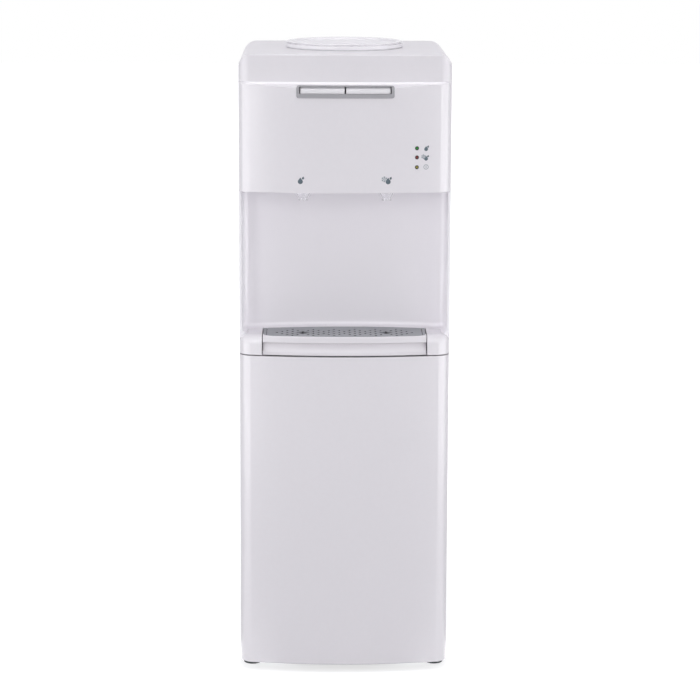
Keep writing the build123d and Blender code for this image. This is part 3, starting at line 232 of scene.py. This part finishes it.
def metal(name, colour, roughness=0.3, brush=None, tarnish=None, zinc=False):
    """Bare metal with a brushed, drawn or spangled face."""
    s = Surface(name)
    base = linear(*colour)
    dark = linear(*tarnish) if tarnish else toned(base, 0.8)
    tone = s.ramp(s.noise(18.0, 5.0, 0.62), [(0.38, base), (0.72, dark)])
    if zinc:
        spangle = s.ramp(s.cells(70.0, "Color"), [(0.2, (0.82, 0.82, 0.82, 1)), (0.8, UNTINTED)])
        tone = s.mix(1.0, tone, spangle, "MULTIPLY")
    if brush:
        lines = s.noise(900.0, 2.0, 0.6, stretch=brush)
        s.bump(lines, 0.25, 0.00003)
        rough = s.span(lines, roughness - 0.08, roughness + 0.12)
    else:
        rough = s.span(s.noise(45.0, 4.0, 0.6), roughness - 0.06, roughness + 0.12)
    s.constant(Metallic=1.0)
    return s.close(tone, rough)


def foam(name, colour):
    """Bead foam: rounded cells with darker joints."""
    s = Surface(name)
    base = linear(*colour)
    beads = s.cells(240.0)
    tone = s.ramp(beads, [(0.30, base), (0.62, toned(base, 0.72))])
    s.bump(beads, -0.6, 0.0012)
    return s.close(tone, s.span(s.noise(30.0, 3.0, 0.5), 0.82, 0.95))


def clear(name, colour, roughness, transmission):
    """Clear moulding with faint flow lines."""
    s = Surface(name)
    base = linear(*colour)
    tone = s.ramp(s.noise(70.0, 3.0, 0.55), [(0.35, base), (0.7, toned(base, 0.94))])
    s.soft_edges(0.0004)
    s.bump(s.noise(120.0, 2.0, 0.5), 0.1, 0.0001)
    s.constant(Transmission_Weight=transmission, IOR=1.05, Coat_Weight=0.35, Coat_Roughness=0.06)
    return s.close(tone, s.span(s.noise(90.0, 3.0, 0.6), roughness, roughness + 0.06))


def lamp_lens(name, centre, rim, axis):
    """Tinted lens, darker towards its rim, whose distance from the axis is measured in the front's plane."""
    s = Surface(name)
    offset = s.add("ShaderNodeVectorMath", operation="SUBTRACT")
    s.link(s.place, offset.inputs[0])
    offset.inputs[1].default_value = axis
    flat = s.add("ShaderNodeVectorMath", operation="MULTIPLY")
    s.link(offset.outputs["Vector"], flat.inputs[0])
    flat.inputs[1].default_value = (1, 0, 1)
    reach = s.add("ShaderNodeVectorMath", operation="LENGTH")
    s.link(flat.outputs["Vector"], reach.inputs[0])
    radius = s.span(reach.outputs["Value"], 0.0, 1.0, 0.0, LAMP_RADIUS * MM)
    middle, edge = linear(*centre), linear(*rim)
    tone = s.ramp(radius, [(0.0, middle), (0.45, middle), (0.95, edge)])
    speckle = s.ramp(s.noise(900.0, 2.0, 0.6), [(0.35, (0.8, 0.8, 0.8, 1)), (0.65, UNTINTED)])
    s.constant(Coat_Weight=0.6, Coat_Roughness=0.05)
    return s.close(s.mix(1.0, tone, speckle, "MULTIPLY"), s.span(s.noise(300.0, 2.0, 0.5), 0.15, 0.3))


def board(name):
    """Circuit board: solder mask with paler tracks."""
    s = Surface(name)
    tracks = s.add("ShaderNodeTexBrick")
    tracks.inputs["Scale"].default_value = 260.0
    tracks.inputs["Mortar Size"].default_value = 0.05
    tracks.inputs["Color1"].default_value = linear(28, 92, 52)
    tracks.inputs["Color2"].default_value = linear(34, 104, 58)
    tracks.inputs["Mortar"].default_value = linear(70, 140, 90)
    s.link(s.scaled((1, 0, 1), (math.radians(90), 0, 0)), tracks.inputs["Vector"])
    return s.close(tracks.outputs["Color"], s.span(s.noise(50.0, 3.0, 0.5), 0.35, 0.5))


def pierced(name, colour):
    """Moulded grille: satin grain, with the depth of its holes in shade."""
    s = Surface(name)
    base = linear(*colour)
    drift = s.ramp(s.noise(26.0, 4.0, 0.6), [(0.35, toned(base, 0.95)), (0.65, base)])
    shade = s.ramp(s.occlusion(0.015, only_local=True), [(0.58, DEEP_SHADE), (0.92, UNTINTED)])
    s.soft_edges(0.0004)
    s.bump(s.noise(1500.0, 2.0, 0.6), 0.3, 0.00005)
    return s.close(s.mix(1.0, drift, shade, "MULTIPLY"), s.span(s.noise(60.0, 4.0, 0.6), 0.45, 0.6))


def basin(name, colour):
    """Tray moulding: its hollow a little in shade, and what lies covered under the grille in deep shade."""
    s = Surface(name)
    base = linear(*colour)
    drift = drifted(s, toned(base, 0.98), base)
    shade = s.ramp(s.occlusion(0.03), [(0.12, DEEP_SHADE), (0.45, (0.88, 0.87, 0.87, 1)), (0.85, UNTINTED)])
    skin(s)
    return s.close(s.mix(1.0, drift, shade, "MULTIPLY"), s.span(s.noise(22.0, 5.0, 0.62), 0.29, 0.41))


def alcove(name, colour, cheek_painted_light):
    """Alcove moulding, with painted light: the cheeks beside the opening a little paler than the back."""
    s = Surface(name)
    base, painted_light = linear(*colour), linear(*cheek_painted_light)
    drift = drifted(s, toned(base, 0.992), base)
    axes = s.add("ShaderNodeSeparateXYZ")
    s.link(s.place, axes.inputs["Vector"])
    side = s.add("ShaderNodeMath", operation="ABSOLUTE")
    s.link(axes.outputs["X"], side.inputs[0])
    # Painted light: the cheeks at the sides of the opening take a paler colour than the back.
    share = s.span(side.outputs["Value"], 0.0, 1.0, CHEEK_INNER * MM, CHEEK_OUTER * MM)
    skin(s)
    return s.close(s.mix(share, drift, painted_light), s.span(s.noise(22.0, 3.0, 0.5), 0.29, 0.33))


# ---- the CAD nodes' materials ----
def dress(nodes, material):
    """Give CAD nodes one material."""
    for name in nodes:
        mesh = NODES[name].data
        mesh.materials.clear()
        mesh.materials.append(material)


WHITE = (229, 226, 231)
dress(["lower_front_panel", "tray_housing", "upper_fascia"], moulded("white_moulding", WHITE))
dress(["top_cover"], moulded("cover_white", (222, 219, 224), roughness=0.42))
dress(["drip_tray"], basin("tray_white", WHITE))
# Painted light: the alcove's white is a little paler than the other white mouldings, and its cheeks are paler
# still.
dress(["alcove_liner"], alcove("alcove_white", (233, 230, 235), (248, 246, 250)))
dress(["bottle_collar", "feed_spike"], moulded("collar_white", (236, 234, 238)))
dress(["side_panel_left", "side_panel_right", "rear_panel"], painted("white_paint", (224, 221, 226)))
dress(["drip_grille"], pierced("grille_grey", (150, 152, 157)))
dress(["key_bezel"], moulded("bezel_grey", (158, 157, 162), roughness=0.36))
dress(["key_hot", "key_cold"], moulded("key_silver", (238, 236, 240), coat=0.4))
dress(["tap_nozzle_hot", "tap_nozzle_cold"], clear("nozzle_clear", (253, 253, 254), 0.03, 0.97))
NATURAL = moulded("natural_plastic", (228, 228, 226), roughness=0.45, shift=0.03)
dress(["tap_body_hot", "tap_body_cold", "tap_plunger_hot", "tap_plunger_cold"], NATURAL)
dress(["tank_lid", "tank_baffle", "drain_outlet", "drain_cap"], NATURAL)
dress(["feet_front", "feet_rear"], rubber("foot_black", (46, 50, 52)))
dress(["compressor_grommets", "inlet_gland"], rubber("grommet_black", (30, 30, 32)))
dress(["hose_hot", "hose_cold", "drain_hose", "collar_gasket"], rubber("silicone", (222, 224, 224), 0.5))
dress(["lamp_board"], board("board_green"))
STAINLESS = metal("stainless", (196, 196, 198), 0.38, brush=(1, 1, 0.02))
dress(["cold_tank", "hot_tank", "heater_band"], STAINLESS)
SPRING_STEEL = metal("spring_steel", (176, 176, 180), 0.25, brush=(1, 1, 0.1))
dress(["key_pin", "tap_spring_hot", "tap_spring_cold", "thermostats"], SPRING_STEEL)
dress(["tank_foam_front", "tank_foam_rear", "hot_foam"], foam("bead_foam", (238, 238, 236)))
dress(["base_plate", "tank_deck", "mid_shelf"], metal("galvanised", (168, 172, 175), 0.42, zinc=True))
COPPER = metal("copper", (196, 120, 84), 0.3, tarnish=(120, 70, 48))
dress(["evaporator_band", "suction_line", "filter_drier"], COPPER)
dress(["compressor"], painted("black_enamel", (26, 26, 28), 0.4))
dress(["condenser"], painted("black_wire", (30, 30, 32), 0.5))
BLACK_PLASTIC = moulded("black_plastic", (34, 34, 36), roughness=0.5, shift=0.06)
dress(["terminal_cover", "condenser_brackets", "switch_housing"], BLACK_PLASTIC)
dress(["rocker_heat"], moulded("rocker_red", (168, 30, 28), roughness=0.3, coat=0.3))
dress(["rocker_cool"], moulded("rocker_green", (24, 116, 60), roughness=0.3, coat=0.3))

# Each lamp's height in millimetres, and the colours of its middle and rim.
LAMPS = {
    "green": (803.0, (6, 122, 28), (4, 36, 14)),
    "red": (789.5, (124, 54, 52), (40, 16, 16)),
    "yellow": (775.0, (136, 126, 50), (48, 44, 20)),
}
for colour, (z, middle, rim) in LAMPS.items():
    dress([f"lamp_{colour}"], lamp_lens(f"lens_{colour}", middle, rim, (LAMP_X * MM, 0, z * MM)))


# ---- printed pictograms, lamp rims and screws ----
def bow_y(x):
    """Depth of the bowed front at a place across the width, in millimetres."""
    return FRONT + BOW_RADIUS - math.sqrt(BOW_RADIUS**2 - x**2)


def piece(name, mesh_builder, material, body):
    """A mesh object from bmesh code, with its material, riding on a body."""
    mesh = bpy.data.meshes.new(name)
    bm = bmesh.new()
    mesh_builder(bm)
    bmesh.ops.recalc_face_normals(bm, faces=bm.faces)
    bm.to_mesh(mesh)
    bm.free()
    obj = bpy.data.objects.new(name, mesh)
    scene.collection.objects.link(obj)
    mesh.materials.append(material)
    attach(obj, body)


def print_outline(bm, outline, proud=0.06, sunk=0.25):
    """A flat outline laid on the bowed front as a thin slab with square sides."""
    front = [bm.verts.new((x * MM, (bow_y(x) - proud) * MM, z * MM)) for x, z in outline]
    back = [bm.verts.new((x * MM, (bow_y(x) + sunk) * MM, z * MM)) for x, z in outline]
    bm.faces.new(front)
    bm.faces.new(list(reversed(back)))
    count = len(outline)
    for i in range(count):
        j = (i + 1) % count
        bm.faces.new((front[j], front[i], back[i], back[j]))


def drop_outline(x, z, height, lean=0.0):
    """A water drop: round below and drawn to a point above."""
    arc_start, arc_sweep, arc_steps = -205, 230, 18
    radius = height * 0.38
    low = z - height / 2 + radius
    points = []
    for step in range(arc_steps + 1):
        angle = math.radians(arc_start + arc_sweep * step / arc_steps)
        points.append((radius * math.cos(angle), radius * math.sin(angle)))
    tip, waist = height - radius, radius * 0.42
    flank = [(radius * (1 - share) ** 1.1 * 0.9, waist + (tip - waist) * share) for share in (0.35, 0.7)]
    points += flank + [(0, tip)] + [(-side, up) for side, up in reversed(flank)]
    turn = math.radians(lean)
    return [
        (x + px * math.cos(turn) + pz * math.sin(turn), low + pz * math.cos(turn) - px * math.sin(turn))
        for px, pz in points
    ]


def stroke(x0, z0, x1, z1, width):
    """A straight stroke as a thin rectangle."""
    dx, dz = x1 - x0, z1 - z0
    size = math.hypot(dx, dz)
    nx, nz = -dz / size * width / 2, dx / size * width / 2
    return [(x0 + nx, z0 + nz), (x0 - nx, z0 - nz), (x1 - nx, z1 - nz), (x1 + nx, z1 + nz)]


def polar(x, z, radius, angle):
    """The point at a radius and an angle from a centre."""
    return x + radius * math.cos(angle), z + radius * math.sin(angle)


def flake_outlines(x, z, radius, width, hub=0.14, fork_at=0.58, barb=0.4, splay=48):
    """A snowflake: six arms with a pair of barbs each, as shares of the radius and degrees."""
    shapes = []
    for arm in range(6):
        a = math.radians(60 * arm + 30)
        shapes.append(stroke(*polar(x, z, hub * radius, a), *polar(x, z, radius, a), width))
        fork = polar(x, z, fork_at * radius, a)
        for turn in (-splay, splay):
            shapes.append(stroke(*fork, *polar(*fork, barb * radius, a + math.radians(turn)), width))
    return shapes


def ring_outlines(x, z, radius, width, count=32):
    """A ring as short trapezia."""
    shapes = []
    for step in range(count):
        a, b = (2 * math.pi * (step + part) / count for part in (0, 1))
        inner, outer = radius - width / 2, radius + width / 2
        shapes.append([polar(x, z, r, turn) for r, turn in ((outer, a), (outer, b), (inner, b), (inner, a))])
    return shapes


def pictogram(name, outlines, material):
    """A printed sign of one or more outlines."""

    def build(bm):
        for outline in outlines:
            print_outline(bm, outline)

    piece(name, build, material, "cabinet")


def ink(name, colour):
    """Pad-printed ink: faint mottle and a little wear."""
    s = Surface(name)
    base = linear(*colour)
    tone = s.ramp(s.noise(1500.0, 4.0, 0.7), [(0.45, base), (0.8, toned(base, 1.35))])
    s.bump(s.noise(2500.0, 2.0, 0.5), 0.1, 0.00002)
    return s.close(tone, s.span(s.noise(400.0, 3.0, 0.6), 0.4, 0.6))


SLATE = ink("ink_slate", (64, 78, 88))
SLATE_PALE = ink("ink_slate_pale", (126, 134, 142))
pictogram("sign_hot_tap", [drop_outline(-66.0, 755.2, 9.8), drop_outline(-62.1, 759.4, 4.6, 20)], SLATE)
pictogram("sign_cold_tap", [drop_outline(63.2, 755.2, 9.8), drop_outline(66.9, 759.4, 4.6, 20)], SLATE)
pictogram("sign_cold_tap_flake", flake_outlines(57.6, 757.6, 4.3, 0.95), SLATE_PALE)
pictogram("sign_heating", [drop_outline(119.0, 802.4, 7.4), drop_outline(121.9, 805.4, 3.6, 20)], SLATE)
pictogram("sign_cooling", [drop_outline(119.0, 788.2, 7.4), drop_outline(121.9, 791.2, 3.6, 20)], SLATE)
pictogram("sign_cooling_flake", flake_outlines(115.2, 790.4, 3.4, 0.85), SLATE_PALE)
POWER_BAR = stroke(119.1, 773.4, 119.1, 777.0, 0.9)
pictogram("sign_power", ring_outlines(119.1, 775.2, 3.3, 0.8) + [POWER_BAR], SLATE_PALE)


FACING_FRONT = Matrix.Rotation(math.radians(90), 4, "X")
FACING_REAR = Matrix.Rotation(math.radians(-90), 4, "X")
# The section of a lamp's rim as radius and height, closed, in millimetres.
RIM_PROFILE = [(2.62, -0.4), (2.62, 0.3), (2.75, 0.42), (2.9, 0.36), (2.98, 0.12), (2.98, -0.4), (2.62, -0.4)]
RIM_STEPS = 28
RIM_PROUD = 0.15


def set_in_place(bm, verts, place, turn):
    """Turn new vertices about the origin and move them to a place in millimetres."""
    bmesh.ops.transform(bm, matrix=Matrix.Translation(Vector(place) * MM) @ turn, verts=verts)


def lathe(bm, profile, place, turn, steps):
    """A closed profile of radius and height turned about Z, then set in place, in millimetres."""
    rings = []
    for radius, height in profile:
        ring = []
        for step in range(steps):
            a = 2 * math.pi * step / steps
            ring.append(bm.verts.new((radius * math.cos(a) * MM, radius * math.sin(a) * MM, height * MM)))
        rings.append(ring)
    for first, second in zip(rings, rings[1:]):
        for step in range(steps):
            after = (step + 1) % steps
            bm.faces.new((first[step], second[step], second[after], first[after]))
    set_in_place(bm, [v for ring in rings for v in ring], place, turn)


def lamp_rims(bm):
    """Thin dark collars round the three lamps."""
    for z, _, _ in LAMPS.values():
        lathe(bm, RIM_PROFILE, (LAMP_X, bow_y(LAMP_X) - RIM_PROUD, z), FACING_FRONT, RIM_STEPS)


RIM_BLACK = moulded("lamp_rim_black", (40, 42, 44), roughness=0.35, shift=0.05)
piece("lamp_rims", lamp_rims, RIM_BLACK, "cabinet")


def screw_head(bm, place, turn, radius=3.6, height=1.9, steps=24):
    """A pan head with a sunk cross recess."""
    sunk, shoulder = -0.2, height * 0.45
    crown_radius, crown_height = radius * 0.72, height * 0.92
    arm, half = radius * 0.5, radius * 0.13
    taper, recess_floor = 0.7, height * 0.35
    rim_low, rim, crown = [], [], []
    for step in range(steps):
        a = 2 * math.pi * step / steps
        c, s = math.cos(a), math.sin(a)
        rim_low.append(bm.verts.new((radius * c * MM, radius * s * MM, sunk * MM)))
        rim.append(bm.verts.new((radius * c * MM, radius * s * MM, shoulder * MM)))
        crown.append(bm.verts.new((crown_radius * c * MM, crown_radius * s * MM, crown_height * MM)))
    cross_top, cross_low = [], []
    corners = []
    for quarter in range(4):
        a = math.pi / 2 * quarter
        c, s = math.cos(a), math.sin(a)
        for px, py in ((arm, -half), (arm, half), (half, half)):
            corners.append((px * c - py * s, px * s + py * c))
    for px, py in corners:
        cross_top.append(bm.verts.new((px * MM, py * MM, height * MM)))
        cross_low.append(bm.verts.new((px * taper * MM, py * taper * MM, recess_floor * MM)))
    for step in range(steps):
        after = (step + 1) % steps
        bm.faces.new((rim_low[step], rim_low[after], rim[after], rim[step]))
        bm.faces.new((rim[step], rim[after], crown[after], crown[step]))
    for i in range(len(corners)):
        j = (i + 1) % len(corners)
        bm.faces.new((cross_top[i], cross_top[j], cross_low[j], cross_low[i]))
        first = (2 * i - 1) % steps
        second, third = (first + 1) % steps, (first + 2) % steps
        bm.faces.new((crown[first], crown[second], cross_top[i]))
        bm.faces.new((crown[second], crown[third], cross_top[j], cross_top[i]))
    bm.faces.new(cross_low)
    bm.faces.new(list(reversed(rim_low)))
    set_in_place(bm, rim_low + rim + crown + cross_top + cross_low, place, turn)


# The rear screws' places across and up, in millimetres.
SCREW_PLACES = [(x, z) for z in (214, 372, 540, 700, 884) for x in (-150.5, 150.5)] + [(-60, 892), (60, 892)]


def rear_screws(bm):
    """Screws down both edges of the rear panel and along its top."""
    for x, z in SCREW_PLACES:
        screw_head(bm, (x, REAR, z), FACING_REAR)


SCREW_STEEL = metal("screw_zinc", (186, 188, 190), 0.3, brush=(1, 1, 0.2))
piece("rear_screws", rear_screws, SCREW_STEEL, "cabinet")

# ---- camera ----
# Places are in metres, with the distance back taken from the front. Angles are in degrees.
CAMERA_X, CAMERA_BACK, CAMERA_HIGH = -0.042, 3.5, 1.1926
CAMERA_PITCH, CAMERA_YAW, CAMERA_ROLL = 10.655, 0.778, 0.2
CAMERA_LENS, CAMERA_SHIFT, CAMERA_CLIP = 123.2, -0.03, 0.05
camera = bpy.data.objects.new("camera", bpy.data.cameras.new("camera"))
scene.collection.objects.link(camera)
scene.camera = camera
camera.location = (CAMERA_X, FRONT * MM - CAMERA_BACK, CAMERA_HIGH)
camera.rotation_euler = tuple(math.radians(v) for v in (90 - CAMERA_PITCH, -CAMERA_ROLL, -CAMERA_YAW))
camera.data.lens = CAMERA_LENS
camera.data.shift_y = CAMERA_SHIFT
camera.data.clip_start = CAMERA_CLIP

# ---- light ----
# The room's tone by heading, from the front at 0 to the rear at 1.
ROOM = [
    (0.0, (0.34, 0.34, 0.35, 1)),
    (0.14, (0.42, 0.42, 0.43, 1)),
    (0.42, (0.74, 0.74, 0.76, 1)),
    (0.8, (0.84, 0.84, 0.86, 1)),
]
scene.view_settings.view_transform = "Standard"
world = bpy.data.worlds.new("studio")
scene.world = world
world.use_nodes = True
tree = world.node_tree
sky = tree.nodes["Background"]
sky.inputs["Strength"].default_value = 1.0
compass = tree.nodes.new("ShaderNodeTexCoord")
heading = tree.nodes.new("ShaderNodeSeparateXYZ")
tree.links.new(compass.outputs["Generated"], heading.inputs["Vector"])
turned = tree.nodes.new("ShaderNodeMapRange")
set_range(turned, -1.0, 1.0)
tree.links.new(heading.outputs["Y"], turned.inputs["Value"])
room = tree.nodes.new("ShaderNodeValToRGB")
fill_ramp(room, ROOM)
tree.links.new(turned.outputs["Result"], room.inputs["Fac"])
tree.links.new(room.outputs["Color"], sky.inputs["Color"])
# The camera sees plain white, also through the clear outlets. Every other ray sees the room.
plain = tree.nodes.new("ShaderNodeBackground")
plain.inputs["Color"].default_value = UNTINTED
plain.inputs["Strength"].default_value = 1.0
path = tree.nodes.new("ShaderNodeLightPath")
seen = tree.nodes.new("ShaderNodeMath")
seen.operation = "ADD"
seen.use_clamp = True
tree.links.new(path.outputs["Is Camera Ray"], seen.inputs[0])
tree.links.new(path.outputs["Is Transmission Ray"], seen.inputs[1])
pick = tree.nodes.new("ShaderNodeMixShader")
tree.links.new(seen.outputs[0], pick.inputs["Fac"])
tree.links.new(sky.outputs["Background"], pick.inputs[1])
tree.links.new(plain.outputs["Background"], pick.inputs[2])
tree.links.new(pick.outputs["Shader"], tree.nodes["World Output"].inputs["Surface"])


def softbox(name, azimuth, reach, high, aim, size, radiance, mirrored=True, lighting=True):
    """A rectangular lamp at an azimuth from the front, a reach and a height, aimed at a height on the axis.

    One that isn't mirrored shows in no reflection, and one that isn't lighting shows in reflections alone.
    """
    data = bpy.data.lights.new(name, "AREA")
    data.shape = "RECTANGLE"
    data.size, data.size_y = size
    data.energy = radiance * math.pi * size[0] * size[1]
    lamp = bpy.data.objects.new(name, data)
    turn = math.radians(azimuth)
    place = Vector((reach * math.sin(turn), -reach * math.cos(turn), high))
    lamp.location = place
    lamp.rotation_euler = (Vector((0, 0, aim)) - place).to_track_quat("-Z", "Y").to_euler()
    lamp.visible_camera = False
    lamp.visible_glossy = mirrored
    lamp.visible_diffuse = lighting
    scene.collection.objects.link(lamp)


softbox("key", -28, 3.0, 1.3, 0.8, (0.5, 1.9), 4.1)
softbox("fill", 35, 3.0, 1.3, 0.8, (0.36, 1.9), 2.9)
softbox("front", 6, 3.6, 1.2, 0.8, (1.8, 1.8), 2.5, mirrored=False)
softbox("left_side", -84, 2.6, 1.0, 0.6, (0.9, 1.8), 1.4)
softbox("right_side", 84, 2.6, 1.0, 0.6, (0.9, 1.8), 1.2)
softbox("left_mirror", -56, 1.3, 1.0, 1.0, (1.6, 2.0), 2.6, lighting=False)
softbox("right_mirror", 60, 1.3, 1.0, 1.0, (1.6, 2.0), 2.8, lighting=False)
softbox("top", 0, 0.36, 2.6, 0.9, (1.5, 0.42), 3.2, mirrored=False)
softbox("ridge", 0, 0.33, 2.6, 0.9, (1.6, 0.36), 5.0, lighting=False)
softbox("high_mirror", 0, 2.2, 2.5, 0.6, (2.4, 1.2), 4.0, lighting=False)

# ---- floor ----
# Its reflected glow by bearing, from the front at 0 to the rear at 1.
SWEEP = [(0.0, 0.20), (0.05, 0.20), (0.10, 0.80), (0.36, 0.80), (0.46, 0.30), (1.0, 0.24)]
SWEEP_STRENGTH = 3.2
FLOOR_HALF = 12  # metres
floor_mesh = bpy.data.meshes.new("floor")
corners = [(x * FLOOR_HALF, y * FLOOR_HALF, 0) for x, y in ((-1, -1), (1, -1), (1, 1), (-1, 1))]
floor_mesh.from_pydata(corners, [], [(0, 1, 2, 3)])
floor = bpy.data.objects.new("floor", floor_mesh)
scene.collection.objects.link(floor)
ground = bpy.data.materials.new("floor_white")
ground.use_nodes = True
gt = ground.node_tree
ground_shader = gt.nodes["Principled BSDF"]
ground_shader.inputs["Base Color"].default_value = (0.46, 0.46, 0.47, 1)
ground_shader.inputs["Roughness"].default_value = 0.9
spot = gt.nodes.new("ShaderNodeTexCoord")
spread = gt.nodes.new("ShaderNodeVectorMath")
spread.operation = "LENGTH"
gt.links.new(spot.outputs["Object"], spread.inputs[0])
glow = gt.nodes.new("ShaderNodeEmission")
glow.inputs["Color"].default_value = UNTINTED
rays = gt.nodes.new("ShaderNodeLightPath")
axes = gt.nodes.new("ShaderNodeSeparateXYZ")
gt.links.new(spot.outputs["Object"], axes.inputs["Vector"])


def floor_math(operation, first, second):
    """A math node of the floor's material, on a socket and a socket or number."""
    node = gt.nodes.new("ShaderNodeMath")
    node.operation = operation
    for socket, value in zip(node.inputs, (first, second)):
        if isinstance(value, (int, float)):
            socket.default_value = value
        else:
            gt.links.new(value, socket)
    return node.outputs[0]


def floor_range(source, *limits):
    """A map range node of the floor's material."""
    node = gt.nodes.new("ShaderNodeMapRange")
    set_range(node, *limits)
    gt.links.new(source, node.inputs["Value"])
    return node.outputs["Result"]


# What the camera sees: white, a little less so near the body.
rise = floor_range(spread.outputs["Value"], 0.3, 1.4, 0.66, 1.0)
# What the body mirrors: the sweep by bearing, less some of it near the body.
ahead = floor_math("DIVIDE", axes.outputs["Y"], spread.outputs["Value"])
bearing = floor_range(ahead, -1.0, 1.0)
sweep = gt.nodes.new("ShaderNodeValToRGB")
fill_ramp(sweep, [(place, (tone, tone, tone, 1)) for place, tone in SWEEP])
gt.links.new(bearing, sweep.inputs["Fac"])
near = floor_range(spread.outputs["Value"], 0.35, 2.0, -0.6, 0.0)
level = floor_math("ADD", floor_math("MULTIPLY", sweep.outputs["Color"], SWEEP_STRENGTH), near)
shown = floor_math("MULTIPLY", rays.outputs["Is Camera Ray"], rise)
mirrored = floor_math("MULTIPLY", rays.outputs["Is Glossy Ray"], level)
gt.links.new(floor_math("ADD", shown, mirrored), glow.inputs["Strength"])
add = gt.nodes.new("ShaderNodeAddShader")
gt.links.new(ground_shader.outputs[0], add.inputs[0])
gt.links.new(glow.outputs[0], add.inputs[1])
gt.links.new(add.outputs[0], gt.nodes["Material Output"].inputs["Surface"])
floor_mesh.materials.append(ground)
